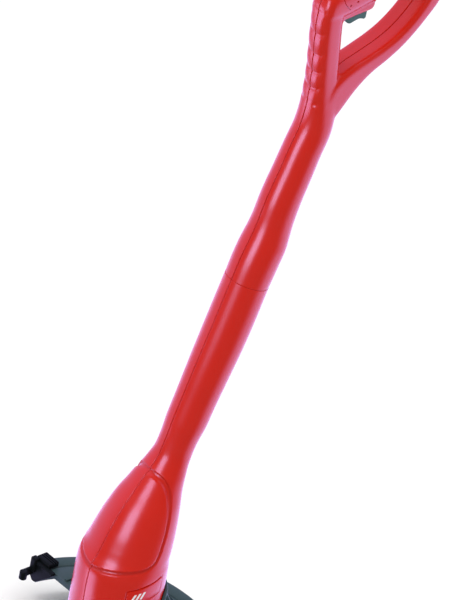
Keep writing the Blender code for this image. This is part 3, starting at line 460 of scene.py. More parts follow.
def motor_half(side):
    """One half of the motor casing: its skin, with the edges turned in at the seam and at both ends."""
    heights = row_heights()
    rows = [(heights[0], LIP), (heights[0], 0.6)] + [(h, 0.0) for h in heights[1:]] + [(JOINT_HEIGHT, LIP)]
    h = np.array([r[0] for r in rows])[:, None]
    pushed = np.array([r[1] for r in rows])[:, None]
    stations, setbacks, radii = np.array(MOTOR_CASING).T
    setback, radius = through(stations, setbacks, h), through(stations, radii, h)
    lean = SHAFT_LEAN * smooth_step(h, LEAN_STARTS, LEAN_ENDS)
    edge = [(SEAM_HALF_GAP, LIP), (SEAM_HALF_GAP, 0.4), (0.35, 0.12), (0.75, 0.0), (1.3, 0.0)]
    middle = 150
    columns = 2 * len(edge) + middle
    angle = np.zeros((len(rows), columns))
    lip = np.zeros((len(rows), columns))
    for k, (x, depth) in enumerate(edge):
        a = np.arcsin(x / (radius[:, 0] - depth))
        angle[:, k], angle[:, -1 - k] = a, math.pi - a
        lip[:, k] = lip[:, -1 - k] = depth
    first, last = angle[:, len(edge) - 1], angle[:, -len(edge)]
    for k in range(middle):
        share = (k + 1) / (middle + 1)
        angle[:, len(edge) + k] = first + (last - first) * share
    relief = motor_relief(side, angle, h + 0 * angle, radius + 0 * angle)
    reach = radius - lip - relief - pushed
    across = reach * np.sin(angle)
    deep = -reach * np.cos(angle)
    y, z = setback + deep * np.cos(lean), h - deep * np.sin(lean)
    if side < 0:
        across = sink_screws(across, y, z)
    points = np.stack([side * across, y, z], axis=2)
    return mesh_from(points.reshape(-1, 3), grid_faces(len(rows), columns))


def make_motor_casing():
    for side, word in ((1, "left"), (-1, "right")):
        piece(f"motor_casing_{word}", motor_half(side), "casing", "red_plastic", f"motor_shell_{word}")


# ---- Handle half of the casing ----
# (set-back, height, radius)
HANDLE_COLUMN = [(103.9, 461, 24.4), (106.9, 470.4, 24.8), (116.3, 500, 25.3), (121.4, 514, 25)]
HANDLE_COLUMN += [(124.2, 524, 24), (127, 536, 22.9), (133.6, 565, 22.3), (144.8, 600, 21.7)]
HANDLE_COLUMN += [(151.9, 623, 21.3), (161, 650, 20.8), (162.9, 668, 19.2), (162.7, 684, 17.7)]
HANDLE_COLUMN += [(161.2, 702, 16.2), (158.9, 724, 15.4), (155.2, 755, 15.2), (151.5, 790, 15.2)]
HANDLE_COLUMN += [(150.8, 812, 15.2)]
# (set-back, height, half depth, half width), as for the strut
GRIP = [(136, 806, 8, 8), (138, 807.5, 15, 12), (142, 810, 20, 15), (148, 812, 21.5, 16.3)]
GRIP += [(158, 813.5, 21.3, 16.8), (175, 815.5, 20.5, 17), (200, 819, 19.2, 16.8)]
GRIP += [(230, 822.5, 19, 16.8), (260, 826, 19, 16.8), (285, 828.5, 19.5, 16.8), (303, 830, 19, 16.5)]
GRIP += [(311, 830.5, 15, 13.5), (316, 831, 9, 9)]
STRUT = [(163, 655, 9, 13), (166.5, 668, 12.5, 16.5), (172, 683, 16.5, 17.7), (180, 697, 19, 17.7)]
STRUT += [(194, 708.5, 16.5, 17.7), (213, 718.5, 12.4, 17.7), (233, 726.6, 10.8, 17.7)]
STRUT += [(251, 736.2, 9.7, 17.7), (266.8, 748.6, 9, 17.7), (280, 762.5, 9, 17.7), (291, 777, 10, 17.7)]
STRUT += [(298.5, 793, 10.5, 17.3), (303, 810, 10.5, 16.5), (304, 828, 9, 15)]
# (set-back, height, half width of the handle there)
HANDLE_SCREWS = [(133.0, 562.0, 22.2), (159.5, 646.0, 20.6), (151.5, 768.0, 15.7), (245.0, 820.0, 16.2)]
HANDLE_SCREWS += [(293.0, 786.0, 16.6)]
SCALLOP_VALLEYS = [685.5, 706, 727, 750.5, 777.5, 806]
SCALLOP_SAG, SCALLOP_BULGE, SCALLOP_DEPTH = 7.0, 1.5, 1.2
INLET_SETBACK, INLET_HEIGHT = 318.0, 830.0
JOINT_CENTRE = (106.9, 470.4)  # set-back and height of the cut between the two casings
DIMPLE_PITCH, DIMPLE_FIRST, DIMPLE_HEIGHT, DIMPLE_ROW = 9.7, 165.6, 813.3, 9.8


def path_loft(stations, squareness, count, upright=False, segments=48):
    """A loft along a path in the centre plane. Stations are (set-back, height, half depth, half width)."""
    table = resample(stations, count)
    rings = []
    for k, (y, z, depth, width) in enumerate(table):
        below, above = table[max(k - 1, 0)], table[min(k + 1, count - 1)]
        angle = 0.0 if upright else math.atan2(above[1] - below[1], above[0] - below[0])
        power = squareness(z) if callable(squareness) else squareness
        turn = np.linspace(0, 2 * math.pi, segments, endpoint=False)
        c, s = np.cos(turn), np.sin(turn)
        deep = depth * np.sign(c) * np.abs(c) ** (2 / power)
        across = width * np.sign(s) * np.abs(s) ** (2 / power)
        rings.append(np.stack([across, y - deep * math.sin(angle), z + deep * math.cos(angle)], axis=1))
    return loft(rings)


def column_squareness(height):
    return 2.0 + float(smooth_step(height, 640, 715))


def handle_body():
    """The whole handle as one smooth closed mesh."""
    column = path_loft([(y, z, r, r) for y, z, r in HANDLE_COLUMN], column_squareness, 90)
    grip = path_loft(GRIP, 2.7, 60, upright=True)
    strut = path_loft(STRUT, 6.0, 70, segments=72)
    lip = [(160, 791), (204, 792.5), (207.3, 796), (207.5, 810), (160, 810)]
    shroud = loft([[(x, y, z) for y, z in lip] for x in (-12.5, 12.5)])
    voxel = 1.3
    smooth = 12
    remesh = ("REMESH", {"mode": "VOXEL", "voxel_size": voxel * MM})
    soften = ("SMOOTH", {"factor": 0.5, "iterations": smooth})
    return baked(joined([column, grip, strut, shroud]), [remesh, soften])


def coordinates(mesh):
    flat = np.empty(3 * len(mesh.vertices))
    mesh.vertices.foreach_get("co", flat)
    return flat.reshape(-1, 3) / MM


def push_in(mesh, depth):
    """Moves each vertex inwards by its depth (mm)."""
    points = coordinates(mesh)
    normals = np.empty(3 * len(mesh.vertices))
    mesh.vertices.foreach_get("normal", normals)
    moved_points = points - normals.reshape(-1, 3) * np.asarray(depth)[:, None]
    mesh.vertices.foreach_set("co", (moved_points * MM).ravel())
    mesh.update()


def scallops(points):
    """The soft finger ridges down the front of the column, each bulging between two sharp valleys."""
    table = resample(HANDLE_COLUMN, 200)
    y0 = np.interp(points[:, 2], table[:, 1], table[:, 0])
    around = np.degrees(np.arctan2(np.abs(points[:, 0]), y0 - points[:, 1]))
    sag = SCALLOP_SAG * smooth_step(around, 10, 75)
    height = points[:, 2] - sag
    bulge = np.zeros(len(points))
    for low, high in zip(SCALLOP_VALLEYS, SCALLOP_VALLEYS[1:]):
        t = (height - low) / (high - low)
        inside = (t > 0) & (t < 1)
        bulge[inside] = SCALLOP_BULGE * np.sin(np.pi * t[inside]) ** 0.7
    reach = 1 - smooth_step(around, 38, 58)
    valley = SCALLOP_DEPTH * smooth_step(points[:, 2], 684, 690) * (1 - smooth_step(points[:, 2], 800, 812))
    return -(bulge - valley) * reach


def grip_side(y, height):
    """Half the grip's width there."""
    table = np.asarray(GRIP, float)
    middle, half, width = (np.interp(y, table[:, 0], table[:, c]) for c in (1, 2, 3))
    return float(width * (1 - min(0.95, abs(height - middle) / half) ** 2.7) ** (1 / 2.7))


def grip_dimples(side):
    """Small round pits in rows on the side of the grip, and the arched line in front of them."""
    pits = []
    sideways = Matrix.Rotation(side * math.pi / 2, 3, "Y")
    for row in range(2):
        for column in range(13):
            along = DIMPLE_PITCH * column
            y = DIMPLE_FIRST - 2.9 * row + along
            height = DIMPLE_HEIGHT + DIMPLE_ROW * row + 0.2 * min(along, 12) + 0.1 * max(along - 12, 0)
            pit = lathe_solid([(0.6, -1.7), (1.4, -0.9), (1.6, 2.5)], 14)
            pits.append(moved(pit, side * grip_side(y, height), y, height, sideways))
    rings = []
    for height in np.linspace(807.5, 829, 24):
        y = 154.5 + 0.026 * (829 - height) ** 2
        surface = grip_side(y, height)
        section = [(surface - 0.9, y - 0.4), (surface + 2, y - 0.7)]
        section += [(surface + 2, y + 0.7), (surface - 0.9, y + 0.4)]
        rings.append([(side * x, at, height) for x, at in section])
    return [joined(pits), loft(rings, 30)]


def handle_half(body, side):
    """Half of the handle, cut at the centre plane, with a rounded edge along the seam."""
    work = bmesh.new()
    work.from_mesh(body)
    normal = Vector((side, 0, 0))
    cut = SEAM_HALF_GAP * 1.4
    for x in (1.3, EDGE_REACH - 0.05, 0.4, cut):
        geometry = [*work.verts, *work.edges, *work.faces]
        settings = {"plane_co": normal * x * MM, "plane_no": normal, "dist": 1e-7, "clear_inner": x == cut}
        bmesh.ops.bisect_plane(work, geom=geometry, **settings)
    work.normal_update()
    for vert in work.verts:
        x = abs(vert.co.x) / MM
        if x < EDGE_REACH:
            flat = Vector((0, vert.normal.y, vert.normal.z))
            if flat.length > 0.1:
                depth = EDGE_DROP * (1 - max(x - cut, 0) / (EDGE_REACH - cut)) ** 2
                vert.co -= flat.normalized() * depth * MM
    rim = [e for e in work.edges if e.is_boundary]
    bmesh.ops.triangle_fill(work, use_beauty=True, use_dissolve=False, edges=rim)
    bmesh.ops.recalc_face_normals(work, faces=work.faces)
    mesh = bpy.data.meshes.new("handle_half")
    work.to_mesh(mesh)
    work.free()
    return shaded(mesh)


def make_handle_casing():
    body = handle_body()
    body.update()
    points = coordinates(body)
    depth = np.zeros(len(points))
    column = (points[:, 1] < 178) & (points[:, 2] > 675) & (points[:, 2] < 815)
    depth[column] = scallops(points[column])
    push_in(body, depth)
    for side, word in ((1, "left"), (-1, "right")):
        half = handle_half(body, side)
        lengthwise = Matrix.Rotation(math.pi / 2, 3, "X")
        inlet = lathe_solid([(6.6, -22), (6.6, 12)])
        trigger_slot = box_mesh(-8.5, 8.5, 168, 205.3, 776, 801.5)
        room_above = box_mesh(-8.2, 8.2, 177, 211, 800, 832)
        cutters = [trigger_slot, room_above, moved(inlet, 0, INLET_SETBACK, INLET_HEIGHT, lengthwise)]
        cutters += grip_dimples(side)
        if side < 0:
            turn = Matrix.Rotation(-math.pi / 2, 3, "Y")
            for y, z, half_width in HANDLE_SCREWS:
                seat = half_width - SCREW_SINK
                hole = lathe_solid([(SCREW_RADIUS, seat), (SCREW_RADIUS, 60)], 28)
                cutters.append(moved(hole, 0, y, z, turn))
        below = box_mesh(-60, 60, -60, 60, -60, 0)
        cutters.append(moved(below, 0, *JOINT_CENTRE, Matrix.Rotation(-SHAFT_LEAN, 3, "X")))
        half = shaded(merged([half, *cutters], "DIFFERENCE"), 50)
        piece(f"handle_casing_{word}", half, "casing", "red_plastic", f"handle_shell_{word}")


# ---- Trigger ----
TRIGGER_Y, TRIGGER_Z = 172.0, 797.0
# (behind the hinge, above it): the lever's outline, with a bump at each end of its finger edge.
TRIGGER_OUTLINE = [(-3.3, 3.2), (-3.5, -1.0), (-1.4, -9.5), (4.0, -16.0), (8.0, -18.2), (12.0, -17.2)]
TRIGGER_OUTLINE += [(20.4, -15.6), (25.0, -17.2), (28.2, -18.8), (30.4, -17.4), (30.7, -11.0)]
TRIGGER_OUTLINE += [(30.5, 2.5), (29.0, 3.8)]


def bevelled(mesh, width, segments=3, limit=40):
    settings = {"width": width * MM, "segments": segments, "limit_method": "ANGLE"}
    settings.update(angle_limit=math.radians(limit), use_clamp_overlap=True)
    return shaded(baked(mesh, [("BEVEL", settings)]), 48)


def make_trigger():
    outline = rounded_profile([(y + TRIGGER_Y, z + TRIGGER_Z) for y, z in TRIGGER_OUTLINE], 2.4, 4)
    lever = bevelled(loft([[(x, y, z) for y, z in outline] for x in (-7.3, 7.3)]), 1.3, 4, 60)
    piece("trigger_lever", lever, "trigger", "grey_plastic", "trigger")


# ---- Label ----
def on_casing(degrees, radius, height):
    """A point on the user's left, by its angle from the front."""
    angle = math.radians(degrees)
    return (radius * math.sin(angle), -radius * math.cos(angle), height)


def make_label():
    inset = LABEL_MARGIN / MM_PER_DEGREE
    first, last = LABEL_FRONT + inset, LABEL_REAR - inset
    stops = [first, first + 0.4, *np.linspace(first + 1.2, last - 1.2, 40), last - 0.4, last]
    rings = []
    for k, degrees in enumerate(stops):
        low = label_bottom(degrees) + LABEL_MARGIN
        high = label_bottom(degrees) + LABEL_HEIGHT - LABEL_MARGIN
        fall = 0.5 if k in (0, len(stops) - 1) else 0.12 if k in (1, len(stops) - 2) else 0.0
        outer = LABEL_RADIUS - fall
        section = [(LABEL_BACK, low), (outer - 0.45, low), (outer - 0.1, low + 0.3), (outer, low + 1.0)]
        section += [(outer, high - 1.0), (outer - 0.1, high - 0.3), (outer - 0.45, high), (LABEL_BACK, high)]
        rings.append([on_casing(degrees, r, z) for r, z in section])
    piece("label_plate", loft(rings, 60), "casing", "label", "side_label")
    bars = []  # three short slanted bars, raised a little from the label
    for k in range(3):
        lower, upper = 63.0 + 6.0 * k, 67.5 + 6.0 * k
        rings = []
        for share in np.linspace(0, 1, 8):
            middle = lower + (upper - lower) * share
            height = label_bottom(middle) + 6.2 + 8.0 * share
            section = [(-1.5, 49.0), (1.5, 49.0), (1.5, 49.33), (-1.5, 49.33)]
            rings.append([on_casing(middle + a, r, height) for a, r in section])
        bars.append(loft(rings, 60))
    piece("label_bars", joined(bars), "casing", "label", look="white_print")


# ---- Guard ----
GUARD_HALF_WIDTH, GUARD_DEPTH, GUARD_FRONT = 134.0, 118.0, 14.0
DECK_TOP, DECK_UNDER, DECK_HOLE = 45.3, 42.8, 40.0
RING_INNER, RING_OUTER = 30.0, 47.0
COLLAR_INNER, COLLAR_OUTER, COLLAR_LOW, COLLAR_HIGH = 49.6, 52.9, 60.0, 112.0
CUTTER_SCREW = (-118.5, 22.0)
GUARD_SCREW_CIRCLE = 38.5
# (distance inside the rim, height): the deck's section from its rim inwards over the top, and back beneath.
DECK_OVER = [(0.0, 42.4), (0.25, 43.7), (1.0, 44.8), (2.4, 45.3), (15.8, 45.3)]
DECK_OVER += [(16.3, 45.0), (16.8, 44.2), (18.6, 44.2), (19.1, 45.0), (19.6, 45.3)]
DECK_BENEATH = [(6.0, 42.8), (3.6, 42.2), (2.5, 40.6), (2.5, 17.7), (2.1, 17.0), (0.4, 17.0), (0.0, 17.7)]


def deck_mesh(columns=120):
    """The wide deck and its skirt: one section carried round the back, with a straight front edge."""
    inner_start = math.asin(GUARD_FRONT / DECK_HOLE)
    outer_start = math.asin(GUARD_FRONT / GUARD_DEPTH)
    rings = []
    for share in np.linspace(0, 1, columns):
        a = inner_start + (math.pi - 2 * inner_start) * share
        b = outer_start + (math.pi - 2 * outer_start) * share
        inner = np.array([DECK_HOLE * math.cos(a), DECK_HOLE * math.sin(a)])
        outer = np.array([GUARD_HALF_WIDTH * math.cos(b), GUARD_DEPTH * math.sin(b)])
        inwards = (inner - outer) / np.linalg.norm(inner - outer)
        ring = [(*(outer + inwards * d), z) for d, z in DECK_OVER]
        ring += [(*inner, DECK_TOP), (*inner, DECK_UNDER)]
        ring += [(*(outer + inwards * d), z) for d, z in DECK_BENEATH]
        rings.append(ring)
    return loft(rings, 30)


def collar_mesh(columns=90):
    """The wall behind the motor casing, with a rounded top edge: low at its ends and tall behind."""
    rings = []
    for around in np.linspace(5, 175, columns):
        near_end = min(around, 180 - around) - 5
        top = COLLAR_LOW + (COLLAR_HIGH - COLLAR_LOW) * float(smooth_step(near_end, 0, 30))
        section = [(COLLAR_INNER, 44), (COLLAR_OUTER, 44)]
        section += [(COLLAR_OUTER, top - 1.4), (COLLAR_OUTER - 0.5, top - 0.3), (COLLAR_OUTER - 1.4, top)]
        section += [(COLLAR_INNER + 1.2, top), (COLLAR_INNER + 0.3, top - 0.3), (COLLAR_INNER, top - 1.2)]
        c, s = math.cos(math.radians(around)), math.sin(math.radians(around))
        rings.append([(r * c, r * s, z) for r, z in section])
    return loft(rings, 40)


def gusset_mesh(around):
    """A thin web that braces the collar, with a hollow upper edge."""
    foot, head = Vector((95.0, 46.4)), Vector((COLLAR_OUTER - 0.8, 108.0))
    bend = foot.lerp(head, 0.5) - Vector((3.0, 3.0))
    upper = []
    for t in np.linspace(0, 1, 12):
        upper.append(tuple((1 - t) ** 2 * foot + 2 * t * (1 - t) * bend + t**2 * head))
    outline = [(COLLAR_OUTER - 0.8, 44.0), (95.0, 44.0), *upper]
    web = loft([[(x, y, z) for y, z in outline] for x in (-1.75, 1.75)])
    return moved(bevelled(web, 0.6, 2), turn=Matrix.Rotation(math.radians(around - 90), 3, "Z"))


def polar(radius, degrees):
    return radius * math.cos(math.radians(degrees)), radius * math.sin(math.radians(degrees))


def cutter_screw_hole(segments=20):
    return moved(lathe_solid([(1.7, 38), (1.7, 49.8)], segments), *CUTTER_SCREW)


def make_guard():
    ring = rounded_profile([(28.0, 43.1), (RING_OUTER, 43.1), (RING_OUTER, 49.7), (28.0, 49.7)], 0.8)
    parts = [deck_mesh(), lathe(ring, 120), collar_mesh()]
    parts += [gusset_mesh(around) for around in (43, 90, 137)]
    parts += [box_mesh(x0, x1, 14.1, 16.5, 38.6, 44, 0.7) for x0, x1 in ((-131, -45), (45, 131))]
    parts += [box_mesh(x0, x0 + 4, 16, 60, 44, 47.6, 0.7) for x0 in (-92, -62, 58, 88)]
    shield = merged(parts)
    cutters = [lathe_solid([(RING_INNER, 20), (RING_INNER, 70)], 120)]
    for k in range(3):
        x, y = polar(GUARD_SCREW_CIRCLE, 90 + 120 * k)
        cutters.append(moved(lathe_solid([(2.2, 30), (2.2, 70)], 24), x, y))
    cutters.append(cutter_screw_hole())
    shield = shaded(merged([shield, *cutters], "DIFFERENCE"), 35)
    piece("guard_shield", shield, "casing", "dark_plastic", "guard")


# ---- Blade carrier and cutter ----
CARRIER_OUTER, CARRIER_INNER = -137.0, -104.0


def make_blade_carrier():
    outer, inner = CARRIER_OUTER, CARRIER_INNER
    outline = [(outer, 46.5), (outer, 26), (outer + 4, 21), (outer + 9, 21), (inner, 43.5), (inner, 46.5)]
    plate = loft([[(x, y, z) for x, z in rounded_profile(outline, 1.5)] for y in (9.0, 12.4)])
    parts = [
        bevelled(plate, 0.6, 2, 60),
        box_mesh(outer, outer + 8, 6, 13.4, 33, 51, 1.8, 4),
        box_mesh(outer, inner, 8, 13.4, 43.5, 47.5, 0.9, 3),
        box_mesh(outer + 3, outer + 24, 12, 26, 45.7, 52, 1.4, 3),
        box_mesh(outer, outer + 4, -5, 10, 28.5, 37.5, 0.8, 3),
    ]
    knob_outline = rounded_profile([(0, 28), (4.3, 28), (4.3, 38), (0, 38)], 1.2)
    parts.append(moved(lathe(knob_outline, 40), outer + 4.3, -5))
    clip = merged(parts)
    cutters = []
    for k in range(3):
        y = 17 + 2.9 * k
        cutters.append(box_mesh(outer - 5, inner, y, y + 1.3, 50.4, 60, 0.4))
    cutters.append(cutter_screw_hole())
    clip = shaded(merged([clip, *cutters], "DIFFERENCE"), 40)
    piece("cutter_block", clip, "casing", "black_plastic", "blade_carrier")


def make_cutter():
    """A bent steel blade under the deck: its leg is ground to an edge on the side that the line strikes."""
    section = [(-123.5, 36.0), (-110.0, 36.0), (-107.4, 37.2), (-107.4, 37.6), (-123.5, 37.6)]
    leg = loft([[(x, y, z) for x, y in section] for z in (25.0, 42.5)], 20)
    foot = bevelled(box_mesh(-123.5, -113, 17.5, 37.2, 41, 42.5), 0.2, 2)
    blade = merged([leg, foot])
    blade = merged([blade, cutter_screw_hole(24)], "DIFFERENCE")
    blade.set_sharp_from_angle(angle=math.radians(20))
    piece("cutter_plate", blade, "casing", "steel", "line_cutter", look="blade_steel")


# ---- Line head ----
HEAD_TURN = Matrix.Rotation(math.radians(-25), 3, "Z")
EYELET_HEIGHT = 27


def make_hub():
    corners = [(3.8, 31.5), (9, 31.5), (9, 37.8), (34.5, 37.8), (34.5, 18), (38, 18)]
    corners += [(38, 39), (36, 41), (9, 41), (9, 47), (3.8, 47)]
    turned = lathe(rounded_profile(corners, 0.8), 128)
    cutters = []
    for side in (1, -1):
        outwards = HEAD_TURN @ Matrix.Rotation(side * math.pi / 2, 3, "Y")
        cutters.append(moved(lathe_solid([(3.1, 30), (3.1, 44)], 28), 0, 0, EYELET_HEIGHT, outwards))
    for k in range(12):
        slot = box_mesh(26, 34, -1.2, 1.2, 40.2, 43, 0.4)
        cutters.append(moved(slot, turn=Matrix.Rotation(math.radians(15 + 30 * k), 3, "Z")))
    turned = shaded(merged([turned, *cutters], "DIFFERENCE"), 35)
    piece("hub_turned", turned, "rotor", "dark_plastic", "spool_hub")


def cap_grips(angles, radii, height):
    """Twenty-four shallow grips round the cap's rim."""
    valley = smooth_step(np.cos(24 * angles), 0.35, 0.95)
    return radii - np.where(radii > 39, 1.1 * valley, 0.0)


def knob_scallops(angles, radii, height):
    """Eight shallow hollows for the fingers round the knob."""
    strength = float(smooth_step(height, 1, 4)) * (1 - float(smooth_step(height, 10.5, 12.5)))
    hollow = 0.5 - 0.5 * np.cos(8 * angles)
    return radii - np.where(radii > 15.5, 1.6 * strength * hollow**2, 0.0)


def make_head():
    make_hub()
    corners = [(18, 10), (37, 10), (40, 12), (40, 22), (38.3, 22), (38.3, 17.6)]
    corners += [(34.5, 17.6), (34.5, 12.4), (18, 12.4)]
    cap = lathe(rounded_profile(corners, 0.7), 384, cap_grips)
    piece("cap_turned", cap, "rotor", "black_plastic", "spool_cap")
    corners = [(0, 0), (13, 0), (16.4, 3), (17, 5), (17, 9), (17, 12.8), (21, 12.8), (21, 14.6)]
    corners += [(12, 14.6), (12, 27), (9.6, 27), (9.6, 8), (0, 8)]
    knob = lathe(rounded_profile(corners, 0.7), 160, knob_scallops)
    piece("knob_turned", knob, "bump_knob", "grey_plastic", "bump_knob", look="knob_plastic")
    for side, word in ((1, "a"), (-1, "b")):
        corners = [(1.5, 34.0), (2.8, 34.0), (2.8, 38.3), (4.4, 38.3), (4.4, 39.5), (1.5, 39.5)]
        eyelet = lathe(rounded_profile(corners, 0.45), 40)
        eyelet = moved(eyelet, 0, 0, EYELET_HEIGHT, HEAD_TURN @ Matrix.Rotation(side * math.pi / 2, 3, "Y"))
        piece(f"eyelet_{word}", eyelet, "rotor", "brass", f"line_eyelet_{word}")
        piece(f"line_{word}", line_mesh(side), "rotor", "nylon_line", f"line_end_{word}")


def line_mesh(side, start=34.6, reach=110.7, radius=0.7):
    """A free end of the line: it trails and droops a little, and its tip is cut square."""
    rings = []
    turns = np.linspace(0, 2 * math.pi, 16, endpoint=False)
    for share in np.linspace(0, 1, 40):
        x, y = side * (start + (reach - start) * share), -side * 13 * share**2
        z = EYELET_HEIGHT - 0.6 * share**2
        rings.append([(x, y + radius * math.cos(t), z + radius * math.sin(t)) for t in turns])
    return moved(loft(rings, 50), turn=HEAD_TURN)


# ---- Springs ----
# (coil radius, wire radius, bottom, top, turns, set-back), then (piece, node, body, joint, stroke, shape)
TRIGGER_COIL = (4.9, 0.45, 801.6, 810.0, 4, 196.0)
BUMP_COIL = (6.6, 0.6, 8.4, 31.2, 5, 0.0)
SPRINGS = [
    ("trigger_coil", "trigger_spring", "switch_plunger", "trigger_hinge", 4.1, TRIGGER_COIL),
    ("bump_coil", "bump_spring", "bump_knob", "bump_slide", 5.0, BUMP_COIL),
]


def spring_mesh(radius, wire, bottom, top, turns, setback, per_turn=32):
    """A coil of round wire between two heights."""
    around = np.linspace(0, 2 * math.pi, 12, endpoint=False)
    out = radius + wire * np.cos(around)
    rings = []
    for share in np.linspace(0, 1, turns * per_turn + 1):
        angle = 2 * math.pi * turns * share
        height = bottom + wire + (top - bottom - 2 * wire) * share + wire * np.sin(around)
        rings.append(np.stack([out * math.cos(angle), out * math.sin(angle) + setback, height], axis=1))
    return loft(rings, 50)


def make_springs():
    """A spring rides the body of its moving end."""
    for name, node, body, joint, stroke, shape in SPRINGS:
        coil = piece(name, spring_mesh(*shape), body, "steel", node)
        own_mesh(coil)


# ---- Cord gland and screws ----
def make_gland():
    outline = [(3.9, -12), (8.6, -12), (8.6, -7.3), (6.2, -7.3), (6.2, 0), (7.4, 1)]
    for k in range(4):
        low = 1.6 + 2.5 * k
        size = 7.4 - 0.5 * k
        outline += [(size, low), (size - 0.1, low + 1.4), (size - 1.3, low + 1.5), (size - 1.4, low + 2.4)]
    outline += [(5.4, 12), (3.9, 12)]
    sleeve = lathe(rounded_profile(outline, 0.35, 2), 64)
    sleeve = moved(sleeve, 0, INLET_SETBACK, INLET_HEIGHT, Matrix.Rotation(-math.pi / 2, 3, "X"))
    piece("gland_sleeve", sleeve, "casing", "rubber", "cord_gland")


def screw_mesh(corners, recess_at, depth=1.3):
    """A turned screw about Z with a cross recess in the end of its head, at the height given."""
    turned = lathe(rounded_profile(corners, 0.35, 2), 32)
    slots = [box_mesh(-1.9, 1.9, -0.4, 0.4, recess_at - depth, recess_at + depth)]
    slots.append(box_mesh(-0.4, 0.4, -1.9, 1.9, recess_at - depth, recess_at + depth))
    return shaded(merged([turned, *slots], "DIFFERENCE"), 30)


def make_screws():
    quarter = Matrix.Rotation(math.pi / 2, 3, "Y")
    for prefix, screws in (("motor_shell", MOTOR_SCREWS), ("handle_shell", HANDLE_SCREWS)):
        for k, (y, z, half_width) in enumerate(screws):
            seat = -half_width + SCREW_SINK - 0.3
            corners = [(0, seat - 2.2), (2.2, seat - 2.2), (3.2, seat - 1.2), (3.2, seat)]
            corners += [(1.35, seat), (1.35, half_width - 8.5), (0, half_width - 7)]
            screw = moved(screw_mesh(corners, seat - 2.2), 0, y, z, quarter)
            node = f"{prefix}_screw_{k + 1}"
            piece(f"{node}_turned", screw, "casing", "steel", node)
    for k in range(3):
        x, y = polar(GUARD_SCREW_CIRCLE, 90 + 120 * k)
        corners = [(0, 41.3), (2.6, 41.3), (3.4, 42.2), (3.4, 42.8), (1.5, 42.8), (1.5, 57), (0, 58)]
        screw = moved(screw_mesh(corners, 41.3, 1.0), x, y)
        piece(f"guard_screw_turned_{k + 1}", screw, "casing", "steel", f"guard_screw_{k + 1}")
    corners = [(0, 38.6), (2.4, 38.6), (3.0, 39.4), (3.0, 40.7), (1.3, 40.7), (1.3, 48.2), (0, 49.2)]
    screw = moved(screw_mesh(corners, 38.6, 1.0), *CUTTER_SCREW)
    piece("cutter_screw_turned", screw, "casing", "steel", "cutter_screw")


# ---- Camera, light and floor ----
# Lengths here are in metres, and the sensor's is in millimetres. The view's height is measured at the aim.
AZIMUTH, ELEVATION, ROLL = math.radians(42.5), math.radians(35), math.radians(11)
DISTANCE, VIEW_HEIGHT, SENSOR = 22.0, 0.630, 36.0
AIM_RIGHT, AIM_UP, AIM_NEARER, AIM_HEIGHT = 0.0635, 0.3279, 0.155, 0.095


def make_camera():
    right = Vector((math.cos(AZIMUTH), math.sin(AZIMUTH), 0))
    level = Vector((-math.sin(AZIMUTH), math.cos(AZIMUTH), 0))
    forward = level * math.cos(ELEVATION) - Vector((0, 0, math.sin(ELEVATION)))
    up = right.cross(forward)
    target = Vector((0, 0, AIM_HEIGHT)) + right * AIM_RIGHT + up * AIM_UP - forward * AIM_NEARER
    rolled_right = right * math.cos(ROLL) + up * math.sin(ROLL)
    rolled_up = up * math.cos(ROLL) - right * math.sin(ROLL)
    data = bpy.data.cameras.new("camera")
    data.sensor_fit = "VERTICAL"
    data.sensor_width = data.sensor_height = SENSOR
    data.lens = SENSOR * DISTANCE / VIEW_HEIGHT
    data.clip_end = 2 * DISTANCE
    camera = bpy.data.objects.new("camera", data)
    matrix = Matrix((rolled_right, rolled_up, -forward)).transposed().to_4x4()
    matrix.translation = target - forward * DISTANCE
    camera.matrix_world = matrix
    bpy.context.scene.collection.objects.link(camera)
    bpy.context.scene.camera = camera


def area_light(name, place, aim, size, power, colour=(1, 1, 1)):
    data = bpy.data.lights.new(name, "AREA")
    data.shape = "RECTANGLE"
    data.size, data.size_y = size
    data.energy = power
    data.color = colour
    lamp = bpy.data.objects.new(name, data)
    lamp.location = place
    direction = Vector(aim) - Vector(place)
    lamp.rotation_euler = direction.to_track_quat("-Z", "Y").to_euler()
    lamp.visible_glossy = False
    bpy.context.scene.collection.objects.link(lamp)
    return lamp


# (angle about Z from +X in degrees, brightness): soft boxes that glossy surfaces mirror, as three rings.
# UNDER_RING is the lowest, LOW_RING is above it, and HIGH_RING is above both.
LOW_RING = [(-180, 0.8), (-150, 0.5), (-140, 0.6), (-131, 2.3), (-113, 2.3), (-102, 0.02)]
LOW_RING += [(0, 0.02), (42, 0.9), (180, 0.8)]
UNDER_RING = [(-180, 0.6), (-150, 0.35), (-125, 0.2), (-108, 0.02), (0, 0.02), (42, 0.9), (180, 0.8)]
HIGH_RING = [(-180, 0.45), (-150, 0.45), (-130, 0.4), (-120, 0.02), (10, 0.02), (45, 0.45), (180, 0.45)]
# The rings change over between these heights of the mirrored direction.
UNDER_TO_LOW, LOW_TO_HIGH = (-0.76, -0.66), (-0.45, -0.25)
BOX_TINT = (0.48, 0.44, 0.82)


def ring_of_boxes(tree, share, boxes):
    """A colour ramp over the angle about Z, pale violet like the studio's soft boxes."""
    ramp = tree.nodes.new("ShaderNodeValToRGB")
    ramp.color_ramp.interpolation = "EASE"
    stops = ramp.color_ramp.elements
    while len(stops) < len(boxes):
        stops.new(0.5)
    for stop, (degrees, brightness) in zip(stops, boxes):
        stop.position = (degrees + 180) / 360
        stop.color = (*[c * brightness for c in BOX_TINT], 1)
    tree.links.new(share, ramp.inputs["Fac"])
    return ramp.outputs["Color"]


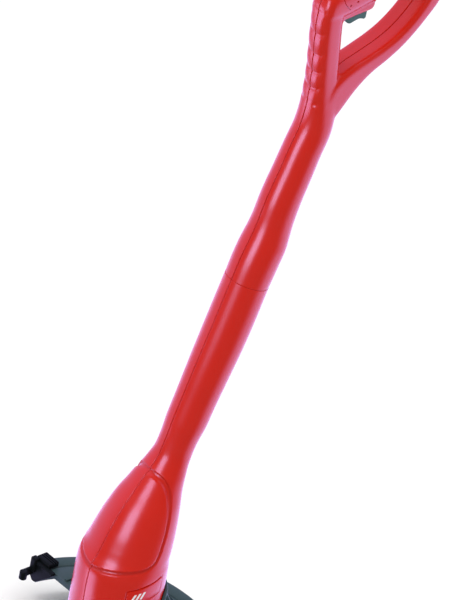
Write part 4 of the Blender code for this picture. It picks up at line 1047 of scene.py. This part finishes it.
def make_world():
    """Even white light, and for mirrored rays a dark room with soft boxes round it."""
    world = bpy.data.worlds.new("studio")
    world.use_nodes = True
    world.cycles.sampling_method = "NONE"
    tree = world.node_tree
    even = tree.nodes["Background"]
    even.inputs["Color"].default_value = (1, 1, 1, 1)
    even.inputs["Strength"].default_value = 0.85
    place = tree.nodes.new("ShaderNodeTexCoord")
    split = tree.nodes.new("ShaderNodeSeparateXYZ")
    tree.links.new(place.outputs["Generated"], split.inputs["Vector"])
    angle = tree.nodes.new("ShaderNodeMath")
    angle.operation = "ARCTAN2"
    tree.links.new(split.outputs["Y"], angle.inputs[0])
    tree.links.new(split.outputs["X"], angle.inputs[1])
    share = node_of(tree, "ShaderNodeMapRange", **{"From Min": -math.pi, "From Max": math.pi})
    tree.links.new(angle.outputs["Value"], share.inputs["Value"])
    colour = ring_of_boxes(tree, share.outputs["Result"], UNDER_RING)
    for (low, high), boxes in ((UNDER_TO_LOW, LOW_RING), (LOW_TO_HIGH, HIGH_RING)):
        height = node_of(tree, "ShaderNodeMapRange", **{"From Min": low, "From Max": high})
        tree.links.new(split.outputs["Z"], height.inputs["Value"])
        both = tree.nodes.new("ShaderNodeMix")
        both.data_type = "RGBA"
        tree.links.new(height.outputs["Result"], both.inputs["Factor"])
        tree.links.new(colour, both.inputs[6])
        tree.links.new(ring_of_boxes(tree, share.outputs["Result"], boxes), both.inputs[7])
        colour = both.outputs[2]
    mirrored = node_of(tree, "ShaderNodeBackground", Strength=4.0)
    tree.links.new(colour, mirrored.inputs["Color"])
    rays = tree.nodes.new("ShaderNodeLightPath")
    choice = tree.nodes.new("ShaderNodeMixShader")
    tree.links.new(rays.outputs["Is Glossy Ray"], choice.inputs["Fac"])
    tree.links.new(even.outputs["Background"], choice.inputs[1])
    tree.links.new(mirrored.outputs["Background"], choice.inputs[2])
    tree.links.new(choice.outputs["Shader"], tree.nodes["World Output"].inputs["Surface"])
    bpy.context.scene.world = world


FLOOR_HALF = 200000  # mm: wide enough to fill the view from the camera


def make_studio():
    make_world()
    half = FLOOR_HALF
    floor = link("floor", box_mesh(-half, half, -half, half, -12, -0.5))
    paint, _, shader = new_look("floor")
    shader.inputs["Base Color"].default_value = (0.93, 0.93, 0.93, 1)
    shader.inputs["Roughness"].default_value = 0.9
    floor.data.materials.append(paint)
    floor.visible_glossy = False
    area_light("key", (-1.2, -1.8, 2.2), (0, 0.1, 0.4), (1.0, 1.6), 14)
    area_light("top", (0.2, 0.2, 3.0), (0, 0.1, 0.4), (2.2, 2.2), 30)
    box = area_light("soft_box", (0.2, -1.12, 0.68), (0, 0.05, 0.42), (0.55, 0.64), 9.5, (0.78, 0.8, 1.3))
    box.visible_glossy = True
    box.visible_diffuse = False
    bpy.context.scene.view_settings.view_transform = "Standard"


dress_frame()
make_motor_casing()
make_handle_casing()
make_trigger()
make_label()
make_guard()
make_blade_carrier()
make_cutter()
make_head()
make_springs()
make_gland()
make_screws()
make_camera()
make_studio()
